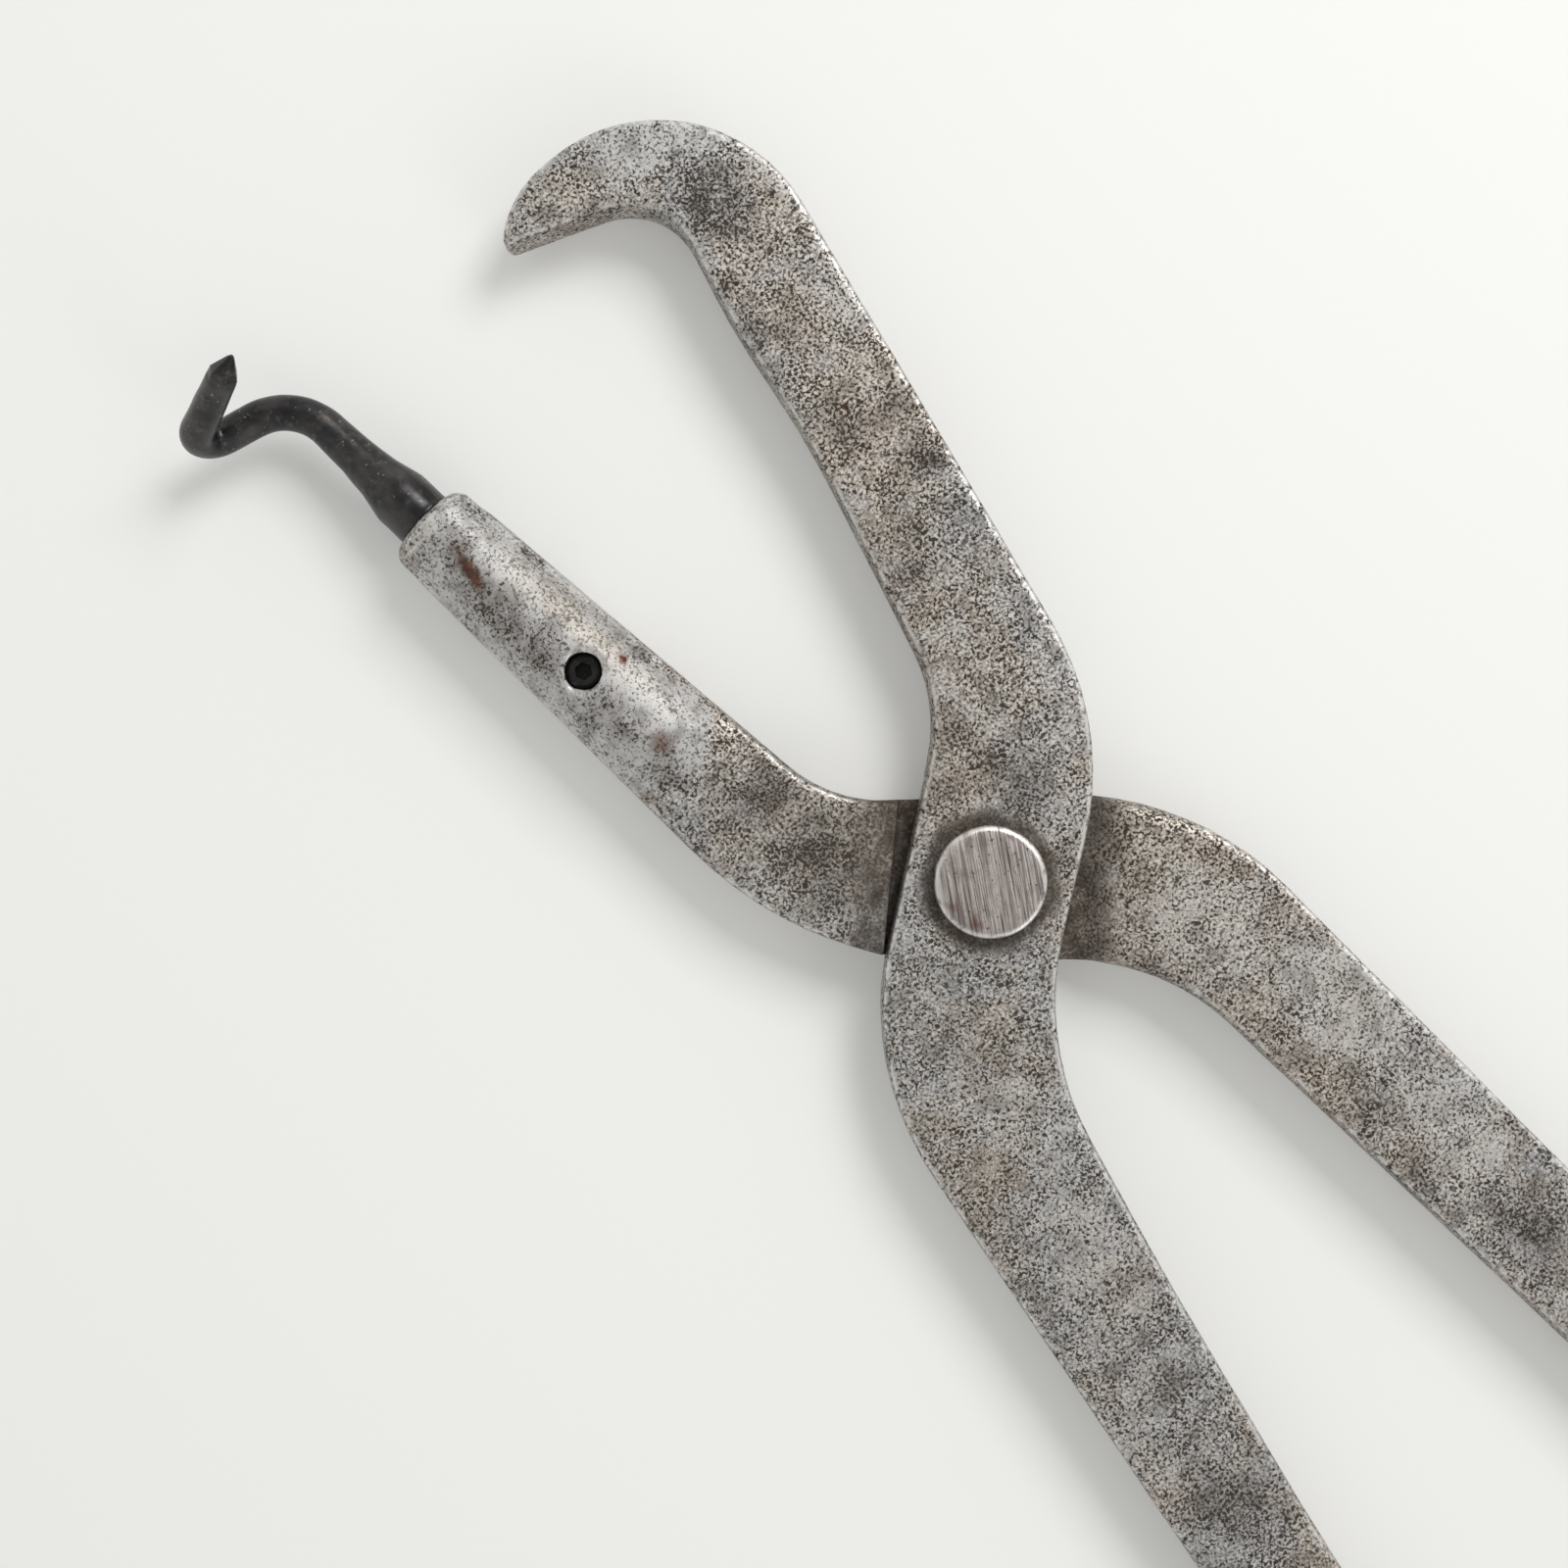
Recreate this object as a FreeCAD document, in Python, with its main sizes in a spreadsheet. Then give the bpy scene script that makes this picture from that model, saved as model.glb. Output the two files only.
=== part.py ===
import FreeCAD, Part
import math
import os

import Sketcher

# Brake spring pliers, in millimetres. Two forged levers cross in a half-lap joint on one rivet. One
# lever ends in a flat claw. The other ends in a round socket that holds a removable hook, which a
# set screw locks. +Z is up, +Y runs from the handles to the jaws, and the origin is where the pivot
# axis meets the bench. The jaws are open, with the claw lever against its open stop.

SIZES = [
    # levers, side view
    ("lever_middle", 6.0, "height of the parting plane of both levers"),
    ("lever_thickness", 7.2, "thickness of both levers"),
    ("worn_edge", 0.8, "rounding along every lever edge"),
    ("handle_bend_start", -75.0, "Y where the handles start to bend down"),
    ("handle_bend_radius", 5400.0, "radius of that bend, at the top face"),
    ("front_clear", 125.0, "Y in front of both levers"),
    ("back_clear", -245.0, "Y behind both levers"),
    ("cut_margin", 1.0, "how far a cut starts outside the metal"),
    ("through_cut", 60.0, "length of a cut that goes right through"),
    # lap joint
    ("lap_gap", 0.1, "free play between the two lap faces"),
    ("lap_angle", 44.5, "angle of the milled lap channel from +X"),
    ("lap_wall", 12.1, "pivot to the stop wall, on the jaw side"),
    ("lap_floor", 12.4, "pivot to the end of the flat floor, on the handle side"),
    ("lap_runout", 15.6, "pivot to the top of the run-out ramp"),
    # rivet
    ("rivet_height", 12.0, "bench to the top of the rivet head"),
    ("rivet_head_radius", 7.1, "nine-sixteenths inch head"),
    ("rivet_head_bevel", 0.4, "bevel round the ground head"),
    ("rivet_shank_radius", 4.76, "three-eighths inch shank"),
    ("rivet_tail_flat_radius", 5.0, "flat at the middle of the peened tail"),
    ("rivet_tail_radius", 6.7, "outside of the peened tail"),
    ("rivet_tail_edge", 1.2, "bench to the widest part of the peened tail"),
    ("rivet_play", 0.05, "running clearance of the claw lever on the rivet"),
    # socket
    ("mouth_x", -25.1, "middle of the socket mouth"),
    ("mouth_y", 80.2, "middle of the socket mouth"),
    ("socket_height", 6.6, "height of the socket axis"),
    ("socket_angle", 6.7, "socket axis from +Y, towards the hook side"),
    ("mouth_radius", 6.05, "outside of the socket at its mouth"),
    ("mouth_bevel", 1.1, "bevel round the mouth"),
    ("barrel_radius", 6.6, "outside of the socket at its thickest"),
    ("barrel_full", 30.0, "mouth to where the barrel is thickest"),
    ("barrel_end", 41.0, "mouth to where the barrel starts to run out"),
    ("barrel_runout", 60.0, "mouth to the buried end of the barrel"),
    ("runout_radius", 1.65, "radius of that buried end"),
    ("bore_radius", 4.0, "socket bore"),
    ("bore_depth", 40.0, "depth of the bore, without its drill point"),
    ("drill_point", 2.4, "length of the drill point"),
    # set screw
    ("screw_distance", 28.0, "mouth to the set screw"),
    ("screw_radius", 2.085, "number eight set screw"),
    ("screw_play", 0.05, "clearance of the screw in its hole"),
    ("screw_length", 3.175, "eighth of an inch"),
    ("screw_rim", 0.35, "bevel round the screw's top"),
    ("hex_width", 1.984, "five sixty-fourths inch hexagon socket, across flats"),
    ("hex_depth", 1.9, "depth of the hexagon socket"),
    # hook
    ("shank_radius", 3.95, "five-sixteenths inch shank"),
    ("shank_depth", 37.0, "shank length inside the socket"),
    ("shank_shoulder", 5.4, "shank length outside the socket"),
    ("shank_flat", 1.5, "depth of the flat under the set screw"),
    ("flat_gap", 0.08, "free play between the flat and the screw"),
    ("flare_radius", 3.7, "wire at the shoulder, just inside the shank's edge"),
    ("flare_length", 5.0, "length of the flare in front of the shoulder"),
    ("flare_end_radius", 2.85, "wire at the end of the flare"),
    ("neck_reach", 22.6, "mouth to the corner of the neck's bend"),
    ("neck_round", 8.1, "radius of the neck's bend"),
    ("neck_wire", 2.4, "wire through the neck's bend"),
    ("return_x", -43.0, "corner where the hook turns back and up"),
    ("return_y", 106.1, "corner where the hook turns back and up"),
    ("return_round", 2.8, "radius of that bend"),
    ("return_wire", 2.05, "wire through that bend"),
    ("tip_x", -29.4, "end of the hook's point"),
    ("tip_y", 107.2, "end of the hook's point"),
    ("tip_height", 22.0, "height of the end of the hook's point"),
    ("point_radius", 1.75, "wire where it meets the hook's point"),
    ("spear_radius", 1.95, "widest part of the hook's point"),
    ("spear_length", 3.4, "length of the hook's point"),
    ("spear_end", 0.3, "radius left at the very end of the point"),
]

# Outline corners: name, X, Y and the radius of the arc that rounds the corner. They go anticlockwise.
CLAW_CORNERS = [
    ("claw_heel", -51.0, -235.6, 7.0),
    ("claw_toe", -36.6, -236.4, 7.0),
    ("claw_grip", -21.2, -92.8, 250.0),
    ("claw_grip_bow", -15.0, -54.0, 300.0),
    ("claw_crotch", -8.3, -19.8, 36.0),
    ("claw_belly", 24.7, 5.1, 37.0),
    ("claw_knuckle", 38.7, 90.9, 21.0),
    ("claw_crown_back", 24.8, 104.55, 20.0),
    ("claw_crown_front", 8.9, 104.55, 13.7),
    ("claw_tip", 3.8, 99.7, 1.0),
    ("claw_throat", 24.2, 92.3, 9.0),
    ("claw_waist_high", 20.0, 73.7, 100.0),
    ("claw_waist_low", 18.2, 57.2, 120.0),
    ("claw_fork", 9.8, 21.0, 21.0),
    ("claw_shoulder", -27.6, -7.7, 38.5),
]
SOCKET_CORNERS = [
    ("socket_toe", 32.0, -236.4, 7.0),
    ("socket_heel", 46.4, -235.6, 7.0),
    ("socket_shoulder", 26.9, -7.4, 39.0),
    ("socket_fork", -8.6, 20.2, 18.0),
    ("socket_cheek_inner", -18.6, 78.1, 2.5),
    ("socket_cheek_outer", -30.9, 76.7, 2.5),
    ("socket_belly", -24.1, 4.85, 50.0),
    ("socket_crotch", 10.3, -21.0, 30.0),
    ("socket_grip", 18.5, -90.0, 250.0),
]


def fill_sheet(doc):
    """Put every driving dimension in one spreadsheet, one aliased cell each."""
    rows = list(SIZES)
    for name, x, y, rounding in CLAW_CORNERS + SOCKET_CORNERS:
        rows.append((name + "_x", x, "outline corner"))
        rows.append((name + "_y", y, "outline corner"))
        rows.append((name + "_round", rounding, "rounding of that corner"))
    sheet = doc.addObject("Spreadsheet::Sheet", "sizes")
    for row, (alias, value, meaning) in enumerate(rows, start=1):
        sheet.set(f"A{row}", alias)
        sheet.set(f"B{row}", str(value))
        sheet.set(f"C{row}", meaning)
        sheet.setAlias(f"B{row}", alias)
    doc.recompute()
    return sheet


def origin_plane(body, role):
    """The body's own origin plane, such as XY_Plane."""
    return next(item for item in body.Origin.OriginFeatures if item.Role == role)


def new_sketch(body, name, role, offset=None):
    """An empty sketch on one of the body's origin planes, moved by offset within that plane."""
    sketch = body.newObject("Sketcher::SketchObject", name)
    sketch.AttachmentSupport = [(origin_plane(body, role), "")]
    sketch.MapMode = "FlatFace"
    if offset is not None:
        sketch.AttachmentOffset = offset
    return sketch


def bind(item, **sizes):
    """Tie properties of a feature to expressions in the sheet."""
    for prop, expression in sizes.items():
        item.setExpression(prop, expression)


def add_polygon(sketch, points):
    """A closed polygon of straight runs, each corner pinned by its distances from the sketch's axes.

    Every point is (x, x expression, y, y expression).
    """
    first = sketch.GeometryCount
    count = len(points)
    for index in range(count):
        start = points[index]
        end = points[(index + 1) % count]
        sketch.addGeometry(Part.LineSegment(FreeCAD.Vector(start[0], start[2], 0),
                                            FreeCAD.Vector(end[0], end[2], 0)))
    for index in range(count):
        following = first + (index + 1) % count
        sketch.addConstraint(Sketcher.Constraint("Coincident", first + index, 2, following, 1))
    for index, (x, x_expression, y, y_expression) in enumerate(points):
        pin(sketch, first + index, 1, x, x_expression, y, y_expression)


def pin(sketch, geometry, end, x, x_expression, y, y_expression):
    """Hold one point of a sketch at X and Y, both tied to expressions."""
    number = sketch.addConstraint(Sketcher.Constraint("DistanceX", -1, 1, geometry, end, x))
    sketch.setExpression(f"Constraints[{number}]", x_expression)
    number = sketch.addConstraint(Sketcher.Constraint("DistanceY", -1, 1, geometry, end, y))
    sketch.setExpression(f"Constraints[{number}]", y_expression)


def add_circle(sketch, x, x_expression, y, y_expression, radius, radius_expression):
    """A circle pinned at its centre."""
    circle = sketch.addGeometry(Part.Circle(FreeCAD.Vector(x, y, 0), FreeCAD.Vector(0, 0, 1), radius))
    pin(sketch, circle, 3, x, x_expression, y, y_expression)
    number = sketch.addConstraint(Sketcher.Constraint("Radius", circle, radius))
    sketch.setExpression(f"Constraints[{number}]", radius_expression)


def add_rounded_outline(sketch, sheet, names):
    """A closed outline of straight runs, with a tangent arc at every named corner of the sheet."""
    corners = [FreeCAD.Vector(sheet.get(name + "_x"), sheet.get(name + "_y"), 0) for name in names]
    count = len(names)
    lines = []
    arcs = []
    for index, name in enumerate(names):
        corner = corners[index]
        rounding = sheet.get(name + "_round")
        arriving = (corner - corners[index - 1]).normalize()
        leaving = (corners[(index + 1) % count] - corner).normalize()
        left_turn = arriving.cross(leaving).z > 0
        reach = rounding * math.tan(arriving.getAngle(leaving) / 2)
        enter = corner - arriving * reach
        leave = corner + leaving * reach
        inward = FreeCAD.Vector(-arriving.y, arriving.x, 0)
        if not left_turn:
            inward = -inward
        centre = enter + inward * rounding
        circle = Part.Circle(centre, FreeCAD.Vector(0, 0, 1), rounding)
        ends = [circle.parameter(enter), circle.parameter(leave)]
        if not left_turn:
            ends.reverse()
        arcs.append((sketch.addGeometry(Part.ArcOfCircle(circle, *ends)), left_turn, enter, leave))
    for index in range(count):
        start = arcs[index][3]
        end = arcs[(index + 1) % count][2]
        lines.append(sketch.addGeometry(Part.LineSegment(start, end)))
    for index, name in enumerate(names):
        arc, left_turn = arcs[index][:2]
        before = lines[index - 1]
        after = lines[index]
        first_end, last_end = (1, 2) if left_turn else (2, 1)
        sketch.addConstraint(Sketcher.Constraint("Tangent", before, 2, arc, first_end))
        sketch.addConstraint(Sketcher.Constraint("Tangent", after, 1, arc, last_end))
        number = sketch.addConstraint(Sketcher.Constraint("Radius", arc, sheet.get(name + "_round")))
        sketch.setExpression(f"Constraints[{number}]", f"sizes.{name}_round")
        point = sketch.addGeometry(Part.Point(corners[index]), True)
        sketch.addConstraint(Sketcher.Constraint("PointOnObject", point, 1, before))
        sketch.addConstraint(Sketcher.Constraint("PointOnObject", point, 1, after))
        pin(sketch, point, 1, corners[index].x, f"sizes.{name}_x", corners[index].y, f"sizes.{name}_y")


def add_bent_plate(body, sheet):
    """A wide plate as thick as a lever, level at the jaws and bent gently down along the handles."""
    sketch = new_sketch(body, body.Name + "_side", "YZ_Plane")
    thickness = sheet.get("lever_thickness")
    top = sheet.get("lever_middle") + thickness / 2
    start = sheet.get("handle_bend_start")
    radius = sheet.get("handle_bend_radius")
    front = sheet.get("front_clear")
    back = sheet.get("back_clear")
    centre = FreeCAD.Vector(start, top - radius, 0)

    def on_bend(distance, y):
        return FreeCAD.Vector(y, centre.y + math.sqrt(distance ** 2 - (y - start) ** 2), 0)

    def bend(distance):
        circle = Part.Circle(centre, FreeCAD.Vector(0, 0, 1), distance)
        return Part.ArcOfCircle(circle, circle.parameter(on_bend(distance, start)),
                                circle.parameter(on_bend(distance, back)))

    under = radius - thickness
    level_top = sketch.addGeometry(Part.LineSegment(on_bend(radius, start), FreeCAD.Vector(front, top, 0)))
    nose = sketch.addGeometry(Part.LineSegment(FreeCAD.Vector(front, top, 0),
                                               FreeCAD.Vector(front, top - thickness, 0)))
    level_under = sketch.addGeometry(Part.LineSegment(FreeCAD.Vector(front, top - thickness, 0),
                                                      on_bend(under, start)))
    bent_under = sketch.addGeometry(bend(under))
    tail = sketch.addGeometry(Part.LineSegment(on_bend(under, back), on_bend(radius, back)))
    bent_top = sketch.addGeometry(bend(radius))
    loop = [
        (level_top, 2, nose, 1),
        (nose, 2, level_under, 1),
        (level_under, 2, bent_under, 1),
        (bent_under, 2, tail, 1),
        (tail, 2, bent_top, 2),
        (bent_top, 1, level_top, 1),
        (bent_top, 3, bent_under, 3),
    ]
    for one, one_end, other, other_end in loop:
        sketch.addConstraint(Sketcher.Constraint("Coincident", one, one_end, other, other_end))
    for arc in (bent_top, bent_under):
        sketch.addConstraint(Sketcher.Constraint("Vertical", arc, 1, arc, 3))
    for line in (nose, tail):
        sketch.addConstraint(Sketcher.Constraint("Vertical", line))
    sketch.addConstraint(Sketcher.Constraint("Horizontal", level_under))
    number = sketch.addConstraint(Sketcher.Constraint("Radius", bent_top, radius))
    sketch.setExpression(f"Constraints[{number}]", "sizes.handle_bend_radius")
    number = sketch.addConstraint(Sketcher.Constraint("Radius", bent_under, under))
    sketch.setExpression(f"Constraints[{number}]", "sizes.handle_bend_radius - sizes.lever_thickness")
    pin(sketch, bent_top, 3, start, "sizes.handle_bend_start", centre.y,
        "sizes.lever_middle + sizes.lever_thickness / 2 - sizes.handle_bend_radius")
    pin(sketch, nose, 1, front, "sizes.front_clear", top, "sizes.lever_middle + sizes.lever_thickness / 2")
    number = sketch.addConstraint(Sketcher.Constraint("DistanceX", -1, 1, bent_top, 2, back))
    sketch.setExpression(f"Constraints[{number}]", "sizes.back_clear")
    pad = body.newObject("PartDesign::Pad", body.Name + "_plate")
    pad.Profile = sketch
    pad.SideType = "Symmetric"
    bind(pad, Length="2 * sizes.front_clear")


def cut_to_outline(body, sheet, names):
    """Cut away everything outside the lever's outline, seen from above."""
    sketch = new_sketch(body, body.Name + "_outline", "XY_Plane")
    margin = sheet.get("cut_margin")
    ahead = sheet.get("front_clear") + margin
    ahead_rule = "sizes.front_clear + sizes.cut_margin"
    behind = sheet.get("back_clear") - margin
    behind_rule = "sizes.back_clear - sizes.cut_margin"
    add_polygon(sketch, [
        (-ahead, f"-({ahead_rule})", ahead, ahead_rule),
        (-ahead, f"-({ahead_rule})", behind, behind_rule),
        (ahead, ahead_rule, behind, behind_rule),
        (ahead, ahead_rule, ahead, ahead_rule),
    ])
    add_rounded_outline(sketch, sheet, names)
    cut_through(body, sketch, body.Name + "_blank")


def cut_through(body, sketch, name):
    """A pocket that goes right through the metal on both sides of its sketch."""
    pocket = body.newObject("PartDesign::Pocket", name)
    pocket.Profile = sketch
    pocket.SideType = "Symmetric"
    bind(pocket, Length="sizes.through_cut")


def round_edges(body, sheet):
    """Round every edge along the outline, top and bottom, as years of use have."""
    body.Document.recompute()
    base = body.Tip
    start = sheet.get("handle_bend_start")
    names = []
    for number, edge in enumerate(base.Shape.Edges, start=1):
        ends = [vertex.Point for vertex in edge.Vertexes]
        upright = abs(ends[0].z - ends[-1].z) > sheet.get("lever_thickness") / 2
        across = all(abs(end.y - start) < 0.01 for end in ends)
        if not upright and not across:
            names.append(f"Edge{number}")
    fillet = body.newObject("PartDesign::Fillet", body.Name + "_edges")
    fillet.Base = (base, names)
    bind(fillet, Radius="sizes.worn_edge")


def add_bar(doc, sheet, name, corners):
    """The forged bar that both levers start from: bent plate, outline and worn edges."""
    body = doc.addObject("PartDesign::Body", name)
    add_bent_plate(body, sheet)
    cut_to_outline(body, sheet, [corner[0] for corner in corners])
    round_edges(body, sheet)
    return body


def cut_lap(body, sheet, side, upward):
    """Mill the half-lap channel across the bar: a stop wall, a flat floor and a run-out ramp.

    side is 1 where the stop wall faces -X and -1 where it faces +X. upward cuts from the floor up.
    """
    turn = FreeCAD.Rotation(FreeCAD.Vector(0, 1, 0), side * sheet.get("lap_angle"))
    sketch = new_sketch(body, body.Name + "_lap", "YZ_Plane", FreeCAD.Placement(FreeCAD.Vector(), turn))
    sketch.setExpression("AttachmentOffset.Rotation.Angle", f"{side} * sizes.lap_angle")
    way = 1 if upward else -1
    sign = "+" if upward else "-"
    middle = sheet.get("lever_middle")
    half = sheet.get("lever_thickness") / 2
    floor = middle - way * sheet.get("lap_gap") / 2
    face = middle + way * half
    floor_rule = f"sizes.lever_middle - {way} * sizes.lap_gap / 2"
    face_rule = f"sizes.lever_middle {sign} sizes.lever_thickness / 2"
    clear_rule = f"sizes.lever_middle {sign} 2 * sizes.lever_thickness"
    wall = sheet.get("lap_wall")
    clear = middle + way * 4 * half
    add_polygon(sketch, [
        (wall, "sizes.lap_wall", floor, floor_rule),
        (wall, "sizes.lap_wall", clear, clear_rule),
        (-sheet.get("lap_runout"), "-sizes.lap_runout", clear, clear_rule),
        (-sheet.get("lap_runout"), "-sizes.lap_runout", face, face_rule),
        (-sheet.get("lap_floor"), "-sizes.lap_floor", floor, floor_rule),
    ])
    cut_through(body, sketch, body.Name + "_channel")


def cut_pivot_hole(body, sheet, play, play_rule):
    """The hole for the rivet, on the pivot axis."""
    sketch = new_sketch(body, body.Name + "_pivot", "XY_Plane")
    add_circle(sketch, 0, "0", 0, "0", sheet.get("rivet_shank_radius") + play,
               "sizes.rivet_shank_radius" + play_rule)
    cut_through(body, sketch, body.Name + "_pivot_hole")


def socket_offset(sheet):
    """Moves a flat sketch so that its X axis is the socket's axis, pointing out of the mouth."""
    place = FreeCAD.Vector(sheet.get("mouth_x"), sheet.get("mouth_y"), sheet.get("socket_height"))
    return FreeCAD.Placement(place, FreeCAD.Rotation(FreeCAD.Vector(0, 0, 1), 90 + sheet.get("socket_angle")))


def new_socket_sketch(body, name, sheet):
    """A sketch that holds the socket's axis, with its origin at the middle of the mouth."""
    sketch = new_sketch(body, name, "XY_Plane", socket_offset(sheet))
    sketch.setExpression("AttachmentOffset.Base.x", "sizes.mouth_x")
    sketch.setExpression("AttachmentOffset.Base.y", "sizes.mouth_y")
    sketch.setExpression("AttachmentOffset.Base.z", "sizes.socket_height")
    sketch.setExpression("AttachmentOffset.Rotation.Angle", "90 + sizes.socket_angle")
    return sketch


def turn_profile(body, kind, name, sketch, axis):
    """Revolve a sketch a full turn about one of its own axes, to add or to cut."""
    feature = body.newObject(kind, name)
    feature.Profile = sketch
    feature.ReferenceAxis = (sketch, [axis])
    feature.Angle = 360
    return feature


def add_barrel(body, sheet):
    """The round barrel round the socket, which runs out into the flat bar."""
    sketch = new_socket_sketch(body, "barrel_profile", sheet)
    mouth = sheet.get("mouth_radius")
    bevel = sheet.get("mouth_bevel")
    full = sheet.get("barrel_radius")
    runout = sheet.get("barrel_runout")
    add_polygon(sketch, [
        (0, "0", 0, "0"),
        (0, "0", mouth - bevel, "sizes.mouth_radius - sizes.mouth_bevel"),
        (-bevel, "-sizes.mouth_bevel", mouth, "sizes.mouth_radius"),
        (-sheet.get("barrel_full"), "-sizes.barrel_full", full, "sizes.barrel_radius"),
        (-sheet.get("barrel_end"), "-sizes.barrel_end", full, "sizes.barrel_radius"),
        (-runout, "-sizes.barrel_runout", sheet.get("runout_radius"), "sizes.runout_radius"),
        (-runout, "-sizes.barrel_runout", 0, "0"),
    ])
    turn_profile(body, "PartDesign::Revolution", "barrel", sketch, "H_Axis")


def cut_bore(body, sheet):
    """The blind bore that takes the hook's shank, with its drill point."""
    sketch = new_socket_sketch(body, "bore_profile", sheet)
    radius = sheet.get("bore_radius")
    depth = sheet.get("bore_depth")
    margin = sheet.get("cut_margin")
    add_polygon(sketch, [
        (margin, "sizes.cut_margin", 0, "0"),
        (margin, "sizes.cut_margin", radius, "sizes.bore_radius"),
        (-depth, "-sizes.bore_depth", radius, "sizes.bore_radius"),
        (-depth - sheet.get("drill_point"), "-sizes.bore_depth - sizes.drill_point", 0, "0"),
    ])
    turn_profile(body, "PartDesign::Groove", "bore", sketch, "H_Axis")


def cut_screw_hole(body, sheet):
    """The hole for the set screw, from the top of the barrel into the bore."""
    sketch = new_socket_sketch(body, "screw_hole_circle", sheet)
    add_circle(sketch, -sheet.get("screw_distance"), "-sizes.screw_distance", 0, "0",
               sheet.get("screw_radius") + sheet.get("screw_play"), "sizes.screw_radius + sizes.screw_play")
    pocket = body.newObject("PartDesign::Pocket", "screw_hole")
    pocket.Profile = sketch
    pocket.Reversed = True
    bind(pocket, Length="2 * sizes.barrel_radius")


def make_claw_lever(doc, sheet):
    """The lever with the flat claw. Its top face runs on over the joint, and its underside is lapped."""
    body = add_bar(doc, sheet, "claw_lever", CLAW_CORNERS)
    cut_lap(body, sheet, -1, False)
    cut_pivot_hole(body, sheet, sheet.get("rivet_play"), " + sizes.rivet_play")
    return body


def make_socket_lever(doc, sheet):
    """The lever with the socket. It passes under the other one, in a channel cut in its top face."""
    body = add_bar(doc, sheet, "socket_lever", SOCKET_CORNERS)
    add_barrel(body, sheet)
    cut_lap(body, sheet, 1, True)
    cut_pivot_hole(body, sheet, 0, "")
    cut_bore(body, sheet)
    cut_screw_hole(body, sheet)
    return body


def make_rivet(doc, sheet):
    """The rivet: a flat ground head on top, a plain shank, and a tail peened over on the underside."""
    body = doc.addObject("PartDesign::Body", "pivot_rivet")
    sketch = new_sketch(body, "rivet_profile", "XZ_Plane")
    top = sheet.get("rivet_height")
    half = sheet.get("lever_thickness") / 2
    head = sheet.get("rivet_head_radius")
    bevel = sheet.get("rivet_head_bevel")
    shank = sheet.get("rivet_shank_radius")
    tail = sheet.get("rivet_tail_radius")
    play = sheet.get("rivet_play")
    head_foot = sheet.get("lever_middle") + half + play
    tail_top = sheet.get("lever_middle") - half
    head_rule = "sizes.lever_middle + sizes.lever_thickness / 2 + sizes.rivet_play"
    tail_rule = "sizes.lever_middle - sizes.lever_thickness / 2"
    add_polygon(sketch, [
        (0, "0", 0, "0"),
        (sheet.get("rivet_tail_flat_radius"), "sizes.rivet_tail_flat_radius", 0, "0"),
        (tail, "sizes.rivet_tail_radius", sheet.get("rivet_tail_edge"), "sizes.rivet_tail_edge"),
        (tail, "sizes.rivet_tail_radius", tail_top, tail_rule),
        (shank, "sizes.rivet_shank_radius", tail_top, tail_rule),
        (shank, "sizes.rivet_shank_radius", head_foot, head_rule),
        (head, "sizes.rivet_head_radius", head_foot, head_rule),
        (head, "sizes.rivet_head_radius", top - bevel, "sizes.rivet_height - sizes.rivet_head_bevel"),
        (head - bevel, "sizes.rivet_head_radius - sizes.rivet_head_bevel", top, "sizes.rivet_height"),
        (0, "0", top, "sizes.rivet_height"),
    ])
    turn_profile(body, "PartDesign::Revolution", "rivet", sketch, "V_Axis")
    return body


def screw_foot(sheet):
    """Height of the set screw's foot, just above the flat on the shank."""
    flat = sheet.get("socket_height") + sheet.get("shank_radius") - sheet.get("shank_flat")
    return flat + sheet.get("flat_gap")


def make_set_screw(doc, sheet):
    """The headless set screw, with a hexagon socket in its top and a bevelled foot."""
    body = doc.addObject("PartDesign::Body", "hook_set_screw")
    sketch = new_sketch(body, "screw_profile", "XZ_Plane")
    radius = sheet.get("screw_radius")
    length = sheet.get("screw_length")
    rim = sheet.get("screw_rim")
    add_polygon(sketch, [
        (0, "0", 0, "0"),
        (radius - 2 * rim, "sizes.screw_radius - 2 * sizes.screw_rim", 0, "0"),
        (radius, "sizes.screw_radius", 2 * rim, "2 * sizes.screw_rim"),
        (radius, "sizes.screw_radius", length - rim, "sizes.screw_length - sizes.screw_rim"),
        (radius - rim, "sizes.screw_radius - sizes.screw_rim", length, "sizes.screw_length"),
        (0, "0", length, "sizes.screw_length"),
    ])
    turn_profile(body, "PartDesign::Revolution", "screw", sketch, "V_Axis")
    hexagon = new_sketch(body, "hexagon", "XY_Plane",
                         FreeCAD.Placement(FreeCAD.Vector(0, 0, length), FreeCAD.Rotation()))
    hexagon.setExpression("AttachmentOffset.Base.z", "sizes.screw_length")
    corner = sheet.get("hex_width") / math.sqrt(3)
    points = []
    for index in range(6):
        angle = 60 * index
        points.append((corner * math.cos(math.radians(angle)), f"sizes.hex_width / sqrt(3) * cos({angle} deg)",
                       corner * math.sin(math.radians(angle)), f"sizes.hex_width / sqrt(3) * sin({angle} deg)"))
    add_polygon(hexagon, points)
    pocket = body.newObject("PartDesign::Pocket", "hexagon_socket")
    pocket.Profile = hexagon
    bind(pocket, Length="sizes.hex_depth")
    place = socket_offset(sheet).multVec(FreeCAD.Vector(-sheet.get("screw_distance"), 0, 0))
    body.setExpression("Placement.Base.x",
                       "sizes.mouth_x + sizes.screw_distance * sin(sizes.socket_angle * 1 deg)")
    body.setExpression("Placement.Base.y",
                       "sizes.mouth_y - sizes.screw_distance * cos(sizes.socket_angle * 1 deg)")
    body.setExpression("Placement.Base.z", "sizes.socket_height + sizes.shank_radius - sizes.shank_flat"
                                           " + sizes.flat_gap")
    body.Placement.Base = FreeCAD.Vector(place.x, place.y, screw_foot(sheet))
    return body


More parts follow.
